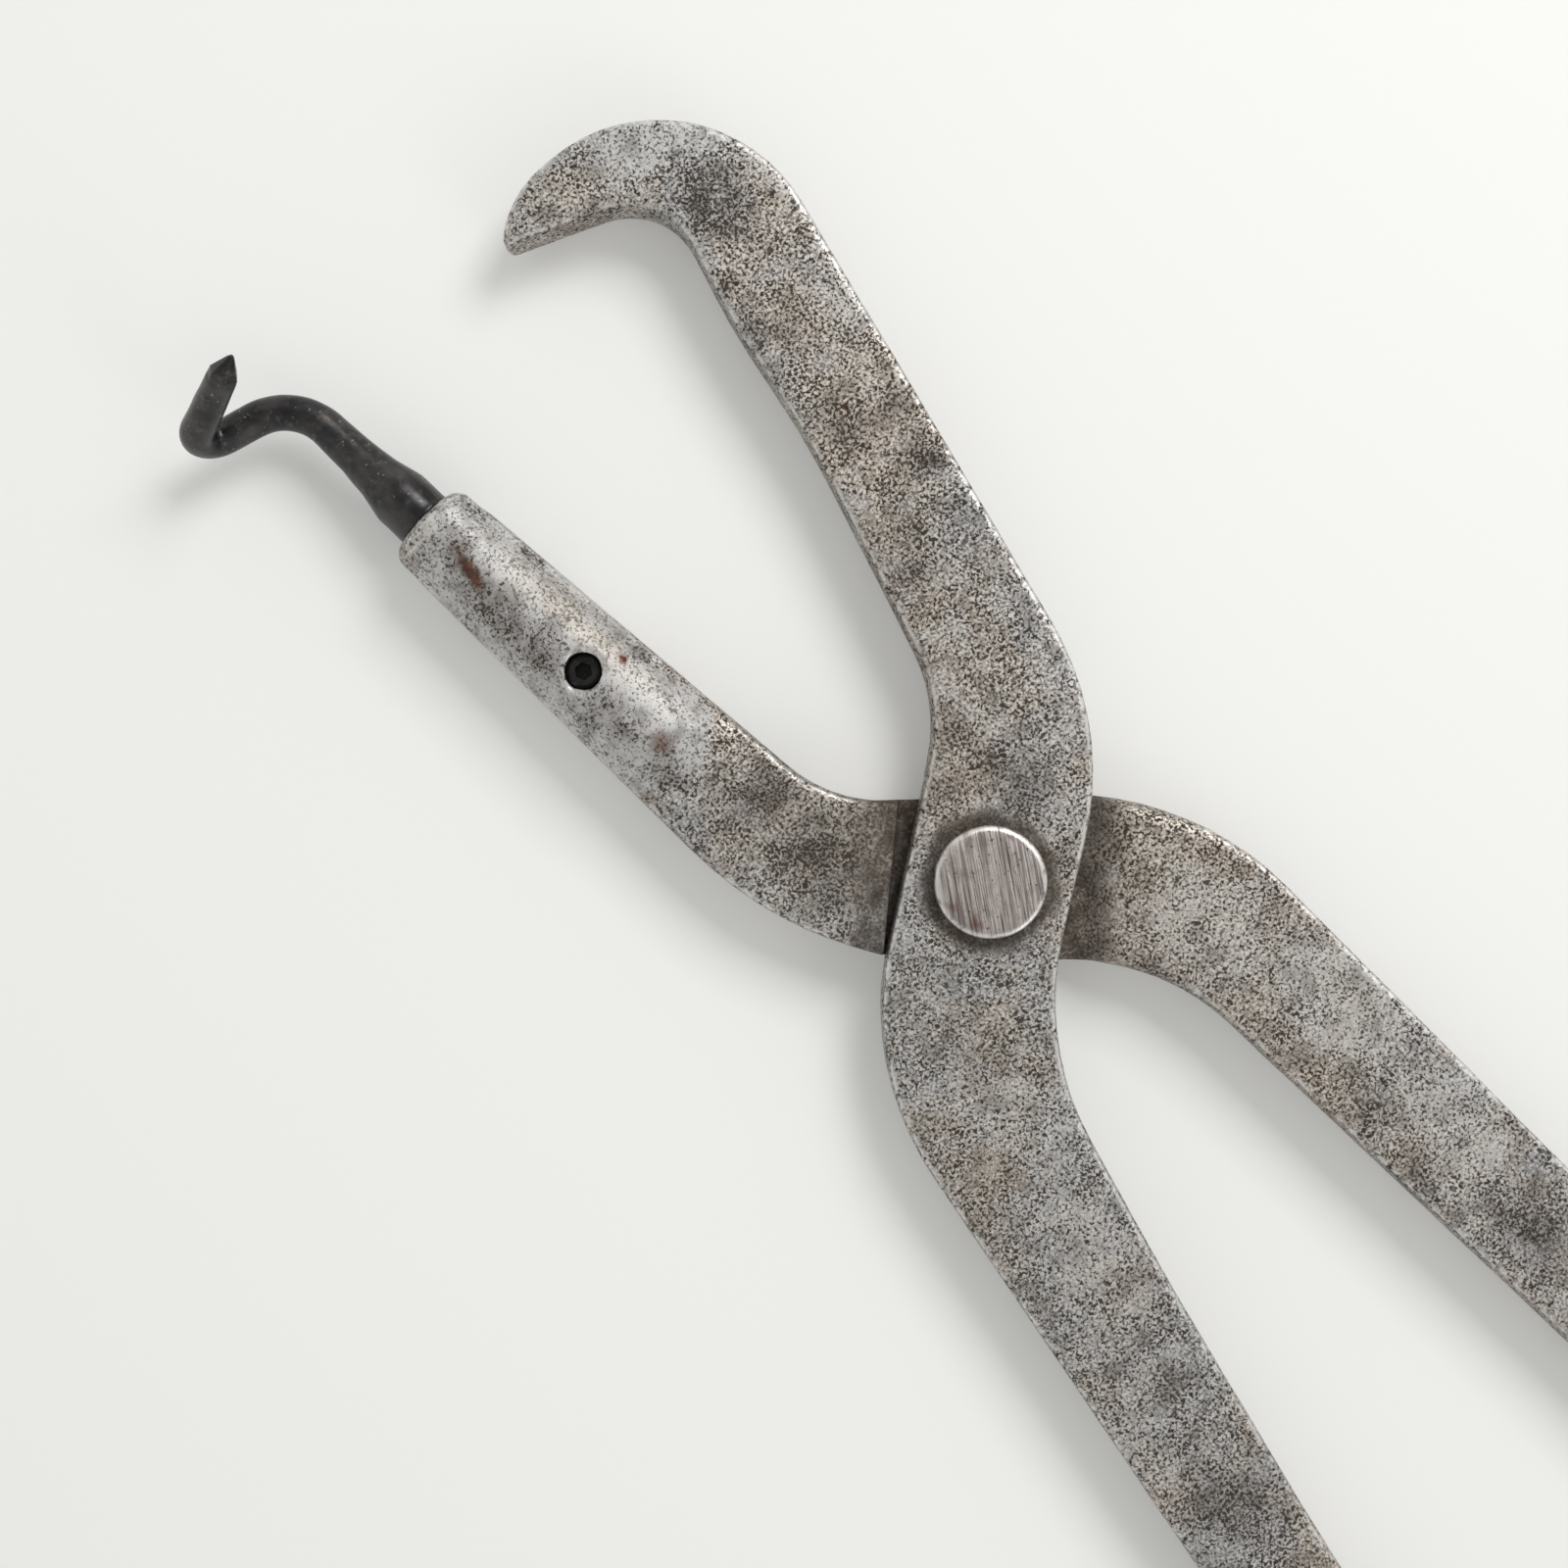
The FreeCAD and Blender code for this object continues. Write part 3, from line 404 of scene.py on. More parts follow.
def black_oxide(name, shades, scuff):
    """Chemically blackened steel: near black with a satin sheen, scuffed grey and faintly brown. scuff is
    the scuffs' strength."""
    material, tree, shader = new_material(name)
    place = object_coordinates(tree)
    cloud = add_noise(tree, place, 4.0, detail=5.0)
    black = add_ramp(tree, cloud, list(zip((0.35, 0.5, 0.65), shades)))
    scuffs = add_range(tree, add_noise(tree, place, 1.6, detail=6.0, roughness=0.72), 0.54, 0.68)
    black = add_mix(tree, add_math(tree, "MULTIPLY", scuffs, scuff), black, "#6a615b")
    nicks = add_range(tree, add_noise(tree, place, 0.6, detail=3.0), 0.67, 0.73)
    black = add_mix(tree, add_math(tree, "MULTIPLY", nicks, scuff), black, "#a8a19b")
    unevenness = add_noise(tree, place, 0.7, detail=5.0)
    shader.inputs["Metallic"].default_value = 0.6
    tree.links.new(black, shader.inputs["Base Color"])
    tree.links.new(add_range(tree, cloud, 0.3, 0.7, 0.24, 0.38), shader.inputs["Roughness"])
    tree.links.new(add_bump(tree, unevenness, 0.4, 0.05), shader.inputs["Normal"])
    return material


def seen_directly(tree):
    """1 for what the camera sees, straight or mirrored in metal, and 0 for light that falls on things."""
    path = add_node(tree, "ShaderNodeLightPath")
    return add_math(tree, "MAXIMUM", path.outputs["Is Camera Ray"], path.outputs["Is Glossy Ray"])


# The room's white, and the distances from the joint, in metres, between which the table fades into it.
ROOM_WHITE = "#fdfdfb"
TABLE_FADE = (0.3, 1.0)


def table_top():
    """A matt white table, with part of its brightness held so that shadows on it stay pale, and all of it
    far from the lamps, so that the table runs into the white room."""
    material, tree, shader = new_material("matt_white_table")
    shader.inputs["Base Color"].default_value = linear("#f1f1ef")
    shader.inputs["Roughness"].default_value = 0.6
    shader.inputs["Specular IOR Level"].default_value = 0.2
    away = add_node(tree, "ShaderNodeVectorMath", {"operation": "LENGTH"},
                    {0: object_coordinates(tree)}).outputs["Value"]
    far = add_range(tree, away, *TABLE_FADE)
    glow = add_node(tree, "ShaderNodeEmission", {"Strength": 1.0},
                    {"Color": add_mix(tree, far, "#f3f3f0", ROOM_WHITE)})
    share = add_math(tree, "MULTIPLY", seen_directly(tree), add_range(tree, far, 0.0, 1.0, 0.2, 1.0))
    mixed = add_node(tree, "ShaderNodeMixShader", links={0: share, 1: shader.outputs["BSDF"],
                                                         2: glow.outputs["Emission"]})
    tree.links.new(mixed.outputs["Shader"], tree.nodes["Material Output"].inputs["Surface"])
    return material


# ---- Meshes

def mesh_object(name, mesh):
    """An object at the origin for a mesh."""
    piece = bpy.data.objects.new(name, mesh)
    bpy.context.scene.collection.objects.link(piece)
    return piece


def finished_mesh(piece):
    """The piece's mesh with its modifiers applied, as a new mesh."""
    graph = bpy.context.evaluated_depsgraph_get()
    return bpy.data.meshes.new_from_object(piece.evaluated_get(graph))


# Points closer than this, in millimetres, are the same corner.
SAME_PLACE = 0.001


def merged_copy(node, name):
    """A copy of a CAD node's mesh with its loose triangles joined up."""
    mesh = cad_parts[node].data.copy()
    mesh.name = name
    work = bmesh.new()
    work.from_mesh(mesh)
    bmesh.ops.remove_doubles(work, verts=work.verts, dist=SAME_PLACE * MM)
    work.to_mesh(mesh)
    work.free()
    mesh.materials.clear()
    return mesh


def read_points(mesh):
    """The mesh's points and normals as arrays."""
    count = len(mesh.vertices)
    points = np.empty(count * 3)
    normals = np.empty(count * 3)
    mesh.vertices.foreach_get("co", points)
    mesh.vertex_normals.foreach_get("vector", normals)
    return points.reshape(count, 3), normals.reshape(count, 3)


def write_points(mesh, points):
    mesh.vertices.foreach_set("co", points.ravel())
    mesh.update()


def neighbour_means(mesh, values, rounds):
    """Each point's value, averaged with its neighbours' a number of times."""
    edges = np.empty(len(mesh.edges) * 2, dtype=np.int64)
    mesh.edges.foreach_get("vertices", edges)
    first, second = edges.reshape(-1, 2).T
    counts = np.bincount(edges, minlength=len(values)).astype(float)
    for _ in range(rounds):
        total = np.zeros_like(values)
        for axis in range(values.shape[1]):
            total[:, axis] = (np.bincount(first, values[second, axis], len(values))
                              + np.bincount(second, values[first, axis], len(values)))
        values = (values + total / counts[:, None]) / 2
    return values


# How worn edges, which are also painted as highlights, are found: rounds of averaging, the percentile of
# bending that counts as a sharp edge, and the shares of that bending at which wear and highlight begin and
# are full.
EDGE_ROUNDS = 5
SHARP_PERCENTILE = 97
WEAR_AND_HIGHLIGHT_BEGINS = 0.5
WEAR_AND_HIGHLIGHT_FULL = 0.95


def edge_wear_and_highlight(mesh, points, normals):
    """0 on flats and in hollows to 1 on sharp outside edges."""
    pull = points - neighbour_means(mesh, points, EDGE_ROUNDS)
    bend = (pull * normals).sum(axis=1)
    sharpest = np.percentile(bend, SHARP_PERCENTILE)
    return np.clip((bend / sharpest - WEAR_AND_HIGHLIGHT_BEGINS) / (WEAR_AND_HIGHLIGHT_FULL - WEAR_AND_HIGHLIGHT_BEGINS), 0, 1)


def store_attribute(mesh, name, values):
    attribute = mesh.attributes.new(name, "FLOAT", "POINT")
    attribute.data.foreach_set("value", values)


def lumps(points, grain, seed):
    """Smooth noise from -1 to 1 at each point, with lumps about one grain, in millimetres, across."""
    scale = 1 / (grain * MM)
    offset = Vector((seed, 2 * seed, 3 * seed))
    return np.array([noise.noise(Vector(point) * scale + offset) for point in points])


def smooth_where(mesh, points, mask, rounds):
    """Points averaged with their neighbours, as far as the mask says, from 0 to 1."""
    share = mask[:, None]
    for _ in range(rounds):
        points = points + (neighbour_means(mesh, points, 1) - points) * share
    return points


# Size of a lever's faces in millimetres, and rounds of averaging that soften its edges.
VOXEL = 0.45
EDGE_SOFTENING = 2


def skin_over(node, name):
    """A lever's CAD shape as one even skin of small faces, with its edges a little softened."""
    piece = mesh_object(name, merged_copy(node, name))
    remesh = piece.modifiers.new("skin", "REMESH")
    remesh.mode = "VOXEL"
    remesh.voxel_size = VOXEL * MM
    remesh.use_smooth_shade = True
    piece.data = finished_mesh(piece)
    piece.modifiers.clear()
    mesh = piece.data
    points = read_points(mesh)[0]
    write_points(mesh, neighbour_means(mesh, points, EDGE_SOFTENING))
    return piece


# Depths in millimetres: how far the side walls draw in towards the top and bottom faces, and half the depth
# of the skin's broad waves and of its fine ones.
WALL_DRAFT = 0.22
BROAD_WAVES = 0.05
FINE_WAVES = 0.025


def roughen(mesh):
    """Crown the side walls as a forging die leaves them, and make the skin uneven. It only moves inwards."""
    points, normals = read_points(mesh)
    rise = (points[:, 2] / MM - PARTING_HEIGHT) / HALF_THICKNESS
    upright = 1 - np.abs(normals[:, 2])
    crown = WALL_DRAFT * np.clip(rise ** 2, 0, 1) * upright
    skin = (BROAD_WAVES * (1 + lumps(points, grain=7.0, seed=3.1))
            + FINE_WAVES * (1 + lumps(points, grain=1.8, seed=7.7)))
    write_points(mesh, points - normals * ((crown + skin) * MM)[:, None])


def lap_distance(points):
    """Distance from the pivot along the lap channel's run, in millimetres: positive towards the jaws."""
    angle = math.radians(LAP_ANGLE)
    return (points[:, 1] * math.cos(angle) - points[:, 0] * math.sin(angle)) / MM


# The ring of dirt round the rivet: how thick it is beside the head, where 1 hides the steel, how much that
# varies, and the distance in millimetres over which it thins by 1.
RING_DEPTH = 1.5
RING_VARIATION = 0.45
RING_FADE = 1.7


def joint_grime(points):
    """Dirt round the rivet, falling off over a few millimetres."""
    away = np.hypot(points[:, 0], points[:, 1]) / MM - RIVET_HEAD_RADIUS
    uneven = RING_VARIATION * lumps(points, grain=3.5, seed=2.9)
    return np.clip(RING_DEPTH + uneven - np.maximum(away, 0) / RING_FADE, 0, 1)


def socket_place(points):
    """Each point's distance back from the socket's mouth, and its distance to the right of its axis."""
    across = Vector((SOCKET_AXIS.y, -SOCKET_AXIS.x, 0))
    offset = points / MM - np.array(SOCKET_MOUTH)
    return -(offset @ np.array(SOCKET_AXIS)), offset @ np.array(across)


def ease(values, low, high):
    """0 below low, 1 above high, and a smooth rise between."""
    share = np.clip((values - low) / (high - low), 0, 1)
    return share * share * (3 - 2 * share)


def band(values, start, full, lessen, end):
    """A smooth rise from 0 at start to 1 at full, and a smooth fall from lessen to 0 at end."""
    return ease(values, start, full) * (1 - ease(values, lessen, end))


def line_at(y, low, high):
    """X of the straight line through two (X, Y) places, at each Y."""
    return low[0] + (high[0] - low[0]) * (y - low[1]) / (high[1] - low[1])


# The barrel's half height at the mouth, and what it gains over BARREL_SWELL_LENGTH, in millimetres.
BARREL_MOUTH = 6.05
BARREL_SWELL = 0.55
BARREL_SWELL_LENGTH = 30
# The power of the barrel's arch: 2 is an ellipse, and more is squarer.
ARCH_POWER = 2.2
# Where the barrel runs out into the bar, in millimetres back from the mouth: SADDLE_BACK on its axis, later
# by SADDLE_SKEW at SADDLE_WIDTH to the right, and sooner by as much to the left. It begins to sink
# SADDLE_RUN before that place, and has sunk SADDLE_OVERRUN after it.
SADDLE_BACK = 47.5
SADDLE_SKEW = 2.5
SADDLE_WIDTH = 6
SADDLE_RUN = 9
SADDLE_OVERRUN = 3.5
# Share of the barrel's height that is gone where it has run out.
SADDLE_DROP = 0.62
# Where the saddle is smoothed, in millimetres back from the mouth, how strongly, and rounds of averaging.
SADDLE_BLEND = (36, 40, 56, 60)
SADDLE_SMOOTHING = 0.9
SADDLE_ROUNDS = 10
# What stays as it is, in millimetres: the rod's bore out to a radius, as far back as it goes, the screw's
# hole out to a radius, the mouth's bevel, and the rest of the lever, past BARREL_END and below BARREL_LOW
# on Y.
BORE_CLEARANCE = 5.0
BORE_END = 44
SCREW_CLEARANCE = 2.9
MOUTH_BEVEL = 2.0
BARREL_END = 62
BARREL_LOW = 20


def swell_barrel(mesh):
    """Widen the round barrel until it fills the bar from edge to edge, and let it run out in a saddle."""
    points, normals = read_points(mesh)
    back, side = socket_place(points)
    x, y, z = points.T / MM
    half_right = np.maximum(side + (line_at(y, SOCKET_INNER_LOW, SOCKET_INNER_HIGH) - x), 1)
    half_left = np.maximum((x - line_at(y, SOCKET_OUTER_LOW, SOCKET_OUTER_HIGH)) - side, 1)
    share = np.clip(np.where(side > 0, side / half_right, -side / half_left), 0, 1)
    full = BARREL_MOUTH + BARREL_SWELL * np.clip(back / BARREL_SWELL_LENGTH, 0, 1)
    saddle = SADDLE_BACK + SADDLE_SKEW * np.clip(side / SADDLE_WIDTH, -1, 1)
    tall = full * (1 - SADDLE_DROP * ease(back, saddle - SADDLE_RUN, saddle + SADDLE_OVERRUN))
    arch = tall * np.sqrt(np.clip(1 - share ** ARCH_POWER, 0, 1))
    raised = np.maximum(np.minimum(z, PARTING_HEIGHT + HALF_THICKNESS), SOCKET_MOUTH.z + arch)
    lowered = np.minimum(np.maximum(z, PARTING_HEIGHT - HALF_THICKNESS), SOCKET_MOUTH.z - arch)
    from_axis = np.hypot(side, z - SOCKET_MOUTH.z)
    outside = (from_axis > BORE_CLEARANCE) | (back > BORE_END)
    clear = np.hypot(back - SCREW_BACK, side) > SCREW_CLEARANCE
    ours = (back > MOUTH_BEVEL) & (back < BARREL_END) & outside & clear & (y > BARREL_LOW)
    upper = ours & (normals[:, 2] > 0.05) & (z > SOCKET_MOUTH.z + 1)
    lower = ours & (normals[:, 2] < -0.05) & (z < SOCKET_MOUTH.z - 1)
    z = np.where(upper, raised, np.where(lower, lowered, z))
    moved = np.column_stack((x, y, z)) * MM
    near = band(back, *SADDLE_BLEND) * outside * clear
    write_points(mesh, smooth_where(mesh, moved, near * SADDLE_SMOOTHING, SADDLE_ROUNDS))


# Where the channel's run-out is worn smooth, in millimetres from the pivot, and rounds of averaging.
RUNOUT_WEAR = (10.5, 13, 23, 27)
RUNOUT_ROUNDS = 45


def soften_channel(mesh):
    """Wear the milled channel's run-out into one smooth hollow."""
    points = read_points(mesh)[0]
    at_runout = band(-lap_distance(points), *RUNOUT_WEAR)
    upper = points[:, 2] / MM > PARTING_HEIGHT - 0.6
    write_points(mesh, smooth_where(mesh, points, at_runout * upper, RUNOUT_ROUNDS))


def make_claw_lever():
    piece = skin_over("claw_lever", "claw_lever_forging")
    mesh = piece.data
    roughen(mesh)
    points, normals = read_points(mesh)
    top = points[:, 2] / MM > PARTING_HEIGHT
    store_attribute(mesh, "wear_and_highlight", edge_wear_and_highlight(mesh, points, normals))
    store_attribute(mesh, "grime_and_shade", joint_grime(points) * top)
    mesh.materials.append(pitted_forging("pitted_forging_claw", CLAW_PATCHES))
    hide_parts("claw_lever")
    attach(piece, "claw_lever")


# Old dirt and painted shade in the lap channel, in millimetres: the depths below the lever's top face where
# it begins and ends, and how far from the joint it reaches, and then takes to fade, towards the jaws and
# towards the handles.
CHANNEL_TOP = 0.35
CHANNEL_BOTTOM = 4.5
JAW_REACH = LAP_WALL + 0.5
JAW_FADE = 7.5
HANDLE_REACH = 9.5
HANDLE_FADE = 9.0


def channel_grime_and_shade(points):
    """Old oil and dirt in the milled channel and on the metal next to it, most of it close to the joint, with
    painted shade beside the claw lever and a painted shadow that fills the gap at the jaw-side wall.
    """
    along = lap_distance(points)
    depth = PARTING_HEIGHT + HALF_THICKNESS - points[:, 2] / MM
    above = depth < CHANNEL_BOTTOM
    # The gap at the jaw-side wall is dark all over: a painted shadow.
    jaw_gap_shadow = (along > 0) & (along < LAP_WALL + 0.4) & (depth > CHANNEL_TOP) & above
    reach = np.where(along > 0, JAW_REACH, HANDLE_REACH)
    fade = np.where(along > 0, JAW_FADE, HANDLE_FADE)
    beside = (1 - ease(np.abs(along), reach, reach + fade)) * above
    uneven = 0.95 + 0.45 * lumps(points, grain=3.0, seed=5.3)
    return np.where(jaw_gap_shadow, 1.0, np.clip(beside * uneven, 0, 1))


def socket_wear_and_highlight(mesh, points, normals):
    """Worn edges, painted partly as highlights, but none in the lap channel, and a bright worn rim round the
    set screw's hole.
    """
    wear_and_highlight = edge_wear_and_highlight(mesh, points, normals)
    wear_and_highlight[np.abs(lap_distance(points)) < LAP_RUNOUT + 1] = 0
    back, side = socket_place(points)
    from_screw = np.hypot(back - SCREW_BACK, side)
    facing_up = normals[:, 2] > 0.3
    return np.maximum(wear_and_highlight, (1 - ease(from_screw, 2.6, 3.0)) * facing_up)


def make_socket_lever():
    piece = skin_over("socket_lever", "socket_lever_forging")
    mesh = piece.data
    swell_barrel(mesh)
    soften_channel(mesh)
    roughen(mesh)
    points, normals = read_points(mesh)
    store_attribute(mesh, "wear_and_highlight", socket_wear_and_highlight(mesh, points, normals))
    store_attribute(mesh, "grime_and_shade", channel_grime_and_shade(points))
    mesh.materials.append(pitted_forging("pitted_forging_socket", SOCKET_PATCHES))
    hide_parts("socket_lever")
    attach(piece, "socket_lever")


RIVET_SEGMENTS = 128
# The rivet's outline from the middle of its head to the middle of its tail: radius, height, and how strongly
# the band is painted as a bright bevel: worn, and with a painted highlight.
RIVET_OUTLINE = [
    (0.02, 11.98, 0), (1.5, 11.98, 0), (3.0, 11.97, 0), (4.5, 11.95, 0), (5.6, 11.93, 0), (6.3, 11.90, 0.1),
    (6.62, 11.86, 0.9), (6.85, 11.74, 1), (7.0, 11.58, 0.8), (7.08, 11.35, 0.2), (7.1, 11.0, 0),
    (7.1, 10.3, 0), (7.06, 9.75, 0), (6.9, 9.66, 0), (4.76, 9.65, 0), (4.76, 6.0, 0), (4.76, 2.4, 0),
    (6.6, 2.38, 0), (6.68, 2.1, 0), (6.68, 1.3, 0), (6.4, 0.75, 0.5), (5.9, 0.3, 0.5), (5.2, 0.06, 0.4),
    (4.6, 0.01, 0), (2.5, 0.01, 0), (0.02, 0.01, 0),
]
# Bands wider than HAMMERED_RADIUS, in millimetres, lose up to twice HAMMERING as a share of their radius.
HAMMERED_RADIUS = 5
HAMMERING = 0.006


def make_rivet():
    """The rivet, turned from its outline, with a rim that hammering has left a little uneven."""
    mesh = bpy.data.meshes.new("pivot_rivet_ground")
    rows = len(RIVET_OUTLINE)
    points = []
    wear_and_highlight = []
    for radius, height, bright in RIVET_OUTLINE:
        for segment in range(RIVET_SEGMENTS):
            angle = 2 * math.pi * segment / RIVET_SEGMENTS
            round_rim = Vector((2 * math.cos(angle), 2 * math.sin(angle), height / 4))
            uneven = 1 - HAMMERING * (1 + noise.noise(round_rim))
            reach = radius * uneven if radius > HAMMERED_RADIUS else radius
            points.append((reach * math.cos(angle) * MM, reach * math.sin(angle) * MM, height * MM))
            wear_and_highlight.append(bright)
    faces = []
    for row in range(rows - 1):
        for segment in range(RIVET_SEGMENTS):
            after = (segment + 1) % RIVET_SEGMENTS
            near = row * RIVET_SEGMENTS
            far = near + RIVET_SEGMENTS
            faces.append((near + segment, far + segment, far + after, near + after))
    faces.append(tuple(range(RIVET_SEGMENTS)))
    faces.append(tuple(reversed(range((rows - 1) * RIVET_SEGMENTS, rows * RIVET_SEGMENTS))))
    mesh.from_pydata(points, [], faces)
    mesh.polygons.foreach_set("use_smooth", [True] * len(faces))
    store_attribute(mesh, "wear_and_highlight", wear_and_highlight)
    mesh.materials.append(ground_rivet_steel())
    piece = mesh_object("pivot_rivet_ground", mesh)
    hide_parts("pivot_rivet")
    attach(piece, "socket_lever")


# The hook's middle line in millimetres: how far its shank goes back from the socket's mouth and its neck goes
# forward, the corner behind its point, the tip, and the radius of each bend.
HOOK_SHANK_BACK = 37.0
HOOK_NECK = 22.6
HOOK_BACK_CORNER = Vector((-43.35, 105.7, 6.6))
HOOK_TIP = Vector((-29.4, 107.2, 22.0))
HOOK_BENDS = [8.1, 2.9]
# Distance between points along the middle line, and the number of sides that make the rod round.
HOOK_STEP = 0.35
ROD_SIDES = 40
# Radius along the hook: distance from the mouth along its middle line, and radius, in millimetres.
HOOK_TAPER = [
    (-37.0, 3.95), (4.6, 3.95), (5.2, 3.92), (6.4, 3.7), (9.5, 3.12), (14.0, 2.66), (19.0, 2.45),
    (27.0, 2.32), (35.0, 2.3), (41.0, 2.3), (46.0, 2.16), (54.0, 1.97), (56.6, 1.93), (56.9, 1.97),
    (57.3, 1.86), (60.4, 0.62), (60.8, 0.46), (61.1, 0.22),
]
# The filed point: its length, how far its flats take to begin, their number, and how flat they are.
POINT_LENGTH = 4.6
POINT_START = 0.8
POINT_FLATS = 6
FILING = 0.9
# Depth of the flat filed on the shank, and half the depth of the hook's dents.
SHANK_FLAT = 1.5
DENTS = 0.05


def hook_path():
    """Points about one step apart along the hook's middle line, with every bend an arc."""
    corners = [SOCKET_MOUTH - SOCKET_AXIS * HOOK_SHANK_BACK, SOCKET_MOUTH + SOCKET_AXIS * HOOK_NECK,
               HOOK_BACK_CORNER, HOOK_TIP]
    path = [corners[0]]

    def go_straight(end):
        start = path[-1]
        count = max(1, round((end - start).length / HOOK_STEP))
        path.extend(start.lerp(end, index / count) for index in range(1, count + 1))

    for before, corner, after, bend in zip(corners, corners[1:], corners[2:], HOOK_BENDS):
        arriving = (corner - before).normalized()
        leaving = (after - corner).normalized()
        turn = arriving.angle(leaving)
        reach = bend * math.tan(turn / 2)
        axis = arriving.cross(leaving).normalized()
        enter = corner - arriving * reach
        centre = enter + axis.cross(arriving) * bend
        go_straight(enter)
        count = max(4, round(bend * turn / HOOK_STEP))
        for index in range(1, count + 1):
            path.append(centre + Matrix.Rotation(turn * index / count, 3, axis) @ (enter - centre))
    go_straight(HOOK_TIP)
    return path


def hook_curve(name):
    """The hook's middle line as a curve whose radius is the wire's."""
    path = hook_path()
    travelled = [-HOOK_SHANK_BACK]
    for before, after in zip(path, path[1:]):
        travelled.append(travelled[-1] + (after - before).length)
    stretch = HOOK_TAPER[-1][0] / travelled[-1]
    radii = np.interp(np.array(travelled) * stretch, *zip(*HOOK_TAPER))
    curve = bpy.data.curves.new(name, "CURVE")
    curve.dimensions = "3D"
    spline = curve.splines.new("POLY")
    spline.points.add(len(path) - 1)
    for point, place, radius in zip(spline.points, path, radii):
        point.co = (*(place * MM), 1)
        point.radius = radius * MM
    piece = bpy.data.objects.new(name, curve)
    bpy.context.scene.collection.objects.link(piece)
    return piece


def rod_tree(material):
    """Geometry nodes that sweep a round section along a curve, as thick as the curve's radius, and the
    identifier of their input for the section's number of sides."""
    tree = bpy.data.node_groups.new("bent_rod", "GeometryNodeTree")
    tree.interface.new_socket("Path", in_out="INPUT", socket_type="NodeSocketGeometry")
    sides = tree.interface.new_socket("Sides", in_out="INPUT", socket_type="NodeSocketInt")
    tree.interface.new_socket("Rod", in_out="OUTPUT", socket_type="NodeSocketGeometry")
    given = add_node(tree, "NodeGroupInput")
    section = add_node(tree, "GeometryNodeCurvePrimitiveCircle", {"Radius": 1.0},
                       {"Resolution": given.outputs["Sides"]})
    sweep = add_node(tree, "GeometryNodeCurveToMesh", {"Fill Caps": True},
                     {"Curve": given.outputs["Path"], "Profile Curve": section.outputs["Curve"]})
    # Newer Curve to Mesh nodes leave the curve's radius to a Scale input.
    if "Scale" in sweep.inputs:
        thick = add_node(tree, "GeometryNodeInputRadius")
        tree.links.new(thick.outputs["Radius"], sweep.inputs["Scale"])
    smooth = add_node(tree, "GeometryNodeSetShadeSmooth", links={"Geometry": sweep.outputs["Mesh"]})
    real = add_node(tree, "GeometryNodeRealizeInstances", links={"Geometry": smooth.outputs["Geometry"]})
    finish = add_node(tree, "GeometryNodeSetMaterial", {"Material": material},
                      {"Geometry": real.outputs["Geometry"]})
    add_node(tree, "NodeGroupOutput", links={"Rod": finish.outputs["Geometry"]})
    return tree, sides.identifier


def file_point(points):
    """Points with flats filed round the hook's point."""
    tip = np.array(HOOK_TIP)
    leg = (HOOK_TIP - HOOK_BACK_CORNER).normalized()
    sideways = leg.cross(Vector((0, 0, 1))).normalized()
    upwards = np.array(sideways.cross(leg))
    offset = points / MM - tip
    along = offset @ np.array(leg)
    radial = offset - np.outer(along, leg)
    angle = np.arctan2(radial @ upwards, radial @ np.array(sideways))
    flat = math.pi / POINT_FLATS
    from_middle = (angle + flat / 2) % (2 * flat) - flat
    cut = math.cos(flat) / np.cos(from_middle)
    ours = (along > -POINT_LENGTH) & (np.linalg.norm(offset, axis=1) < POINT_LENGTH + 1)
    share = np.where(ours, FILING * ease(along, -POINT_LENGTH, POINT_START - POINT_LENGTH), 0)
    return (tip + np.outer(along, leg) + radial * (1 + share * (cut - 1))[:, None]) * MM


def make_hook():
    """The blackened hook: a rod swept along its bent middle line, with a flat filed on its shank."""
    curve = hook_curve("spring_hook_line")
    sweep = curve.modifiers.new("rod", "NODES")
    sweep.node_group, sides = rod_tree(black_oxide("black_oxide_hook", HOOK_BLACK, scuff=0.5))
    sweep[sides] = ROD_SIDES
    mesh = finished_mesh(curve)
    mesh.name = "spring_hook_rod"
    bpy.data.objects.remove(curve)
    points, normals = read_points(mesh)
    back = socket_place(points)[0]
    shank_radius = HOOK_TAPER[0][1]
    flat_height = SOCKET_MOUTH.z + shank_radius - SHANK_FLAT
    in_socket = back > 0.3
    points[in_socket, 2] = np.minimum(points[in_socket, 2], flat_height * MM)
    in_view = back < -0.5
    dents = DENTS * (1 + lumps(points, grain=2.6, seed=1.3)) * in_view
    write_points(mesh, file_point(points - normals * (dents * MM)[:, None]))
    piece = mesh_object("spring_hook_rod", mesh)
    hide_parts("spring_hook")
    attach(piece, "spring_hook")


def dress_node(node, material):
    """Give a CAD node its finish."""
    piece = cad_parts[node]
    for index in range(len(piece.material_slots)):
        piece.material_slots[index].material = material


# ---- Floor, light and camera

# Half the table's width, in metres.
TABLE_REACH = 3.0


def make_floor():
    work = bmesh.new()
    bmesh.ops.create_grid(work, x_segments=1, y_segments=1, size=TABLE_REACH)
    mesh = bpy.data.meshes.new("table")
    work.to_mesh(mesh)
    work.free()
    floor = mesh_object("table", mesh)
    mesh.materials.append(table_top())


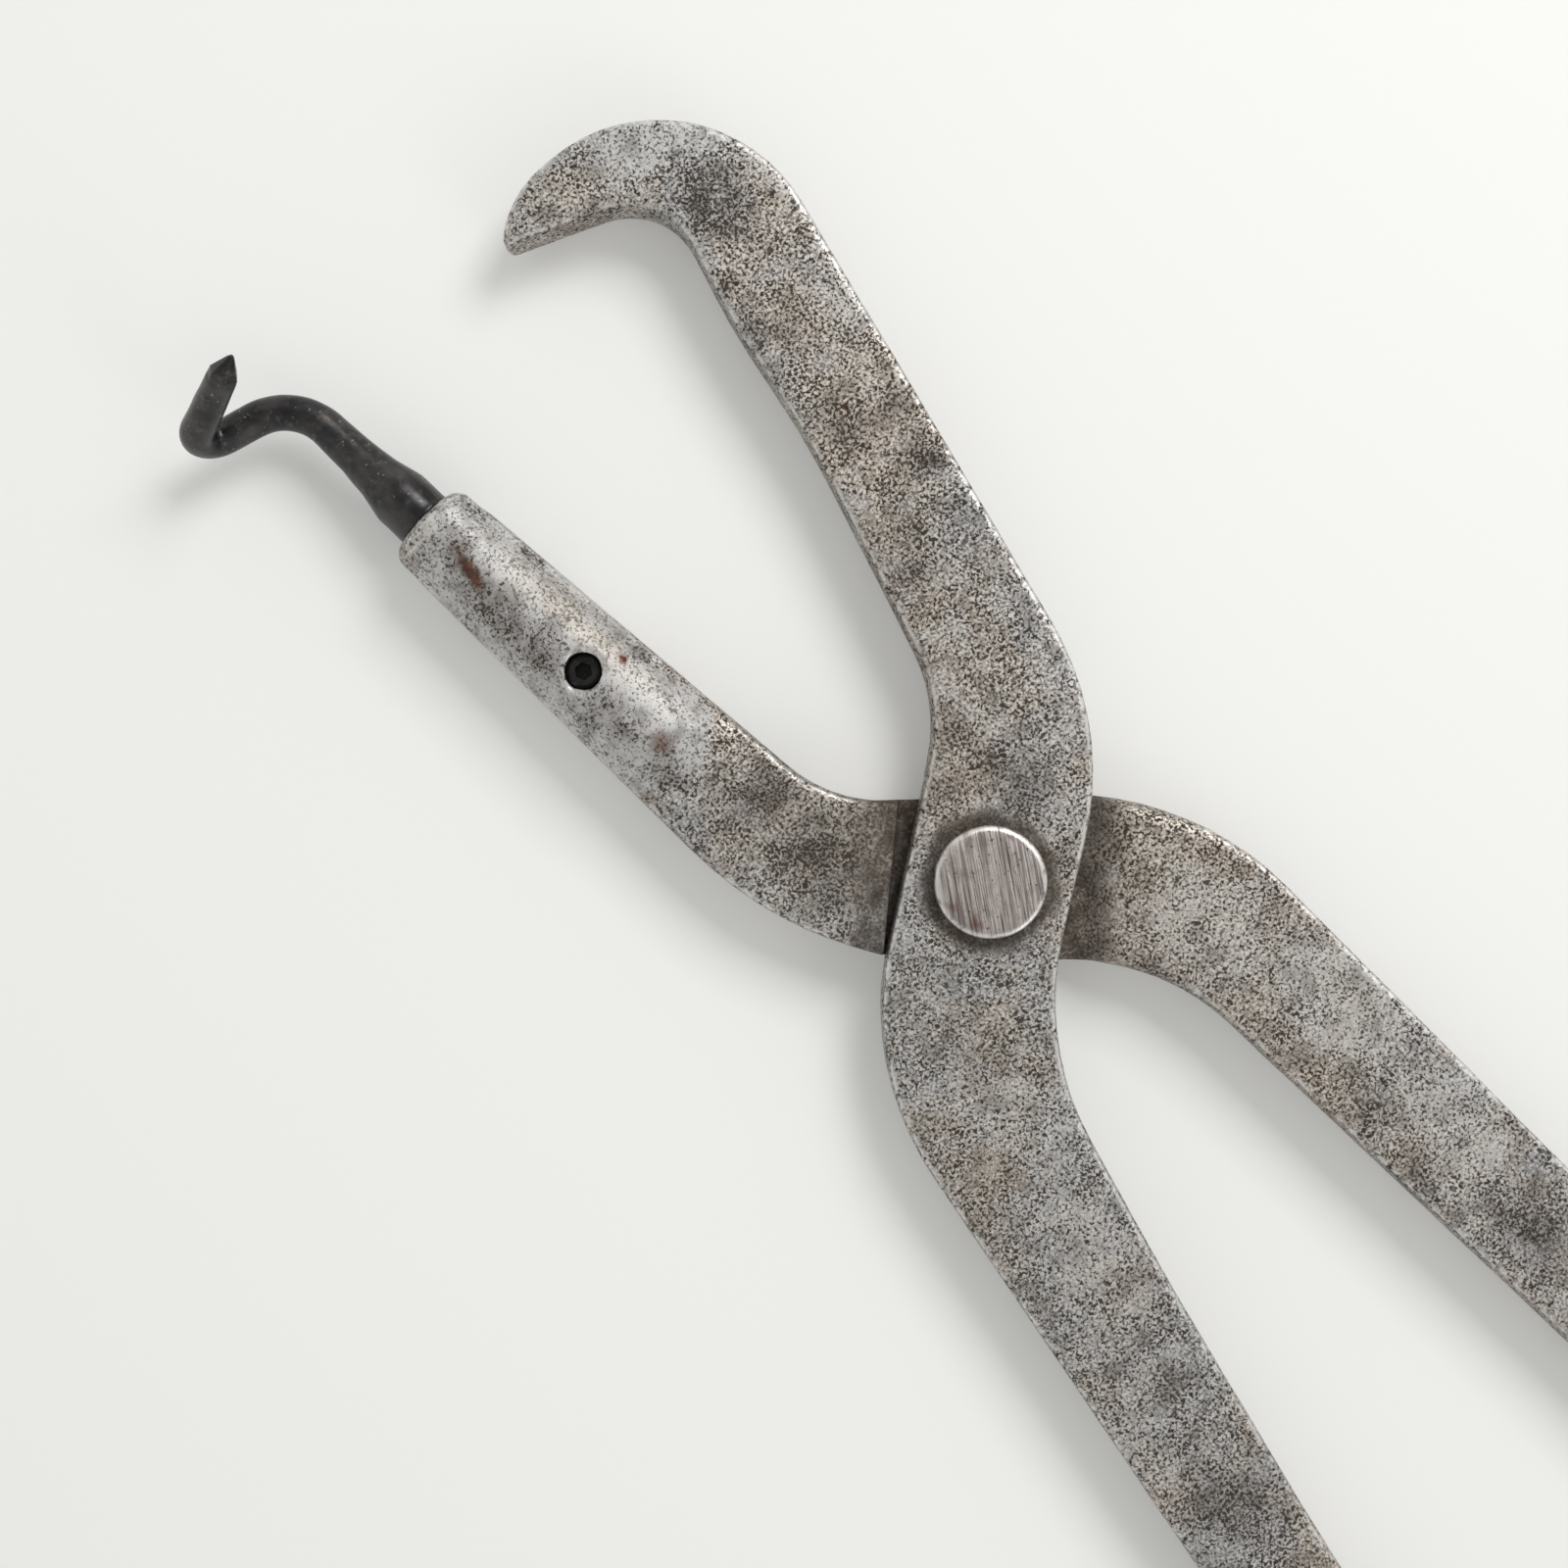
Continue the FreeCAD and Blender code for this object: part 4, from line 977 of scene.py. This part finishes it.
def add_lamp(name, towards, height_angle, distance, size, level):
    """A soft square lamp, in a direction along the bench and at an angle above it, in degrees. level is how
    bright it makes white on the bench, where 1 is plain white."""
    lamp = bpy.data.lights.new(name, "AREA")
    lamp.size = size
    lamp.energy = level * math.pi ** 2 * distance ** 2 / math.sin(math.radians(height_angle))
    holder = bpy.data.objects.new(name, lamp)
    bpy.context.scene.collection.objects.link(holder)
    flat = Vector(towards).normalized() * math.cos(math.radians(height_angle))
    direction = Vector((flat.x, flat.y, math.sin(math.radians(height_angle))))
    holder.location = direction * distance
    holder.rotation_euler = direction.to_track_quat("Z", "Y").to_euler()


def light_scene():
    """A bright room with a darker ceiling overhead, a window to the upper right, and a little low light."""
    world = bpy.data.worlds.new("studio")
    bpy.context.scene.world = world
    world.use_nodes = True
    tree = world.node_tree
    direction = add_node(tree, "ShaderNodeTexCoord").outputs["Generated"]
    upwards = add_node(tree, "ShaderNodeSeparateXYZ", links={"Vector": direction}).outputs["Z"]
    background = tree.nodes["Background"]
    background.inputs["Color"].default_value = linear(ROOM_WHITE)
    # The room darkens within about 40 degrees of straight up. What is seen near the horizon is plain white.
    room = add_range(tree, upwards, 0.75, 0.95, 0.65, 0.32)
    horizon = add_math(tree, "MULTIPLY", add_range(tree, upwards, 0.4, 0.1), seen_directly(tree))
    tree.links.new(add_math(tree, "MAXIMUM", room, horizon), background.inputs["Strength"])
    add_lamp("window", CAMERA_RIGHT * 0.7 + CAMERA_UP, height_angle=47, distance=1.0, size=0.45, level=0.43)
    add_lamp("low_fill", CAMERA_RIGHT - CAMERA_UP, height_angle=28, distance=1.0, size=0.4, level=0.05)


# The camera's place, its sensor's width and its lens, in millimetres.
CAMERA_PLACE = Vector((-11.8, 25.8, 290.1))
SENSOR_WIDTH = 36.0
LENS = 51.66


def aim_camera():
    """Straight down from just above the joint, turned so that the pliers lie across the picture."""
    data = bpy.data.cameras.new("camera")
    data.sensor_width = SENSOR_WIDTH
    data.lens = LENS
    data.clip_start = 0.01
    camera = bpy.data.objects.new("camera", data)
    camera.location = CAMERA_PLACE * MM
    camera.rotation_euler = (0, 0, math.radians(-CAMERA_TURN))
    bpy.context.scene.collection.objects.link(camera)
    bpy.context.scene.camera = camera


bpy.context.scene.view_settings.view_transform = "Standard"
aim_camera()
light_scene()
make_floor()
make_claw_lever()
make_socket_lever()
make_rivet()
make_hook()
# The screw's darker blacks are painted shade from its hole.
dress_node("hook_set_screw", black_oxide("black_oxide_screw_shaded", SCREW_BLACK_SHADED, scuff=0.15))
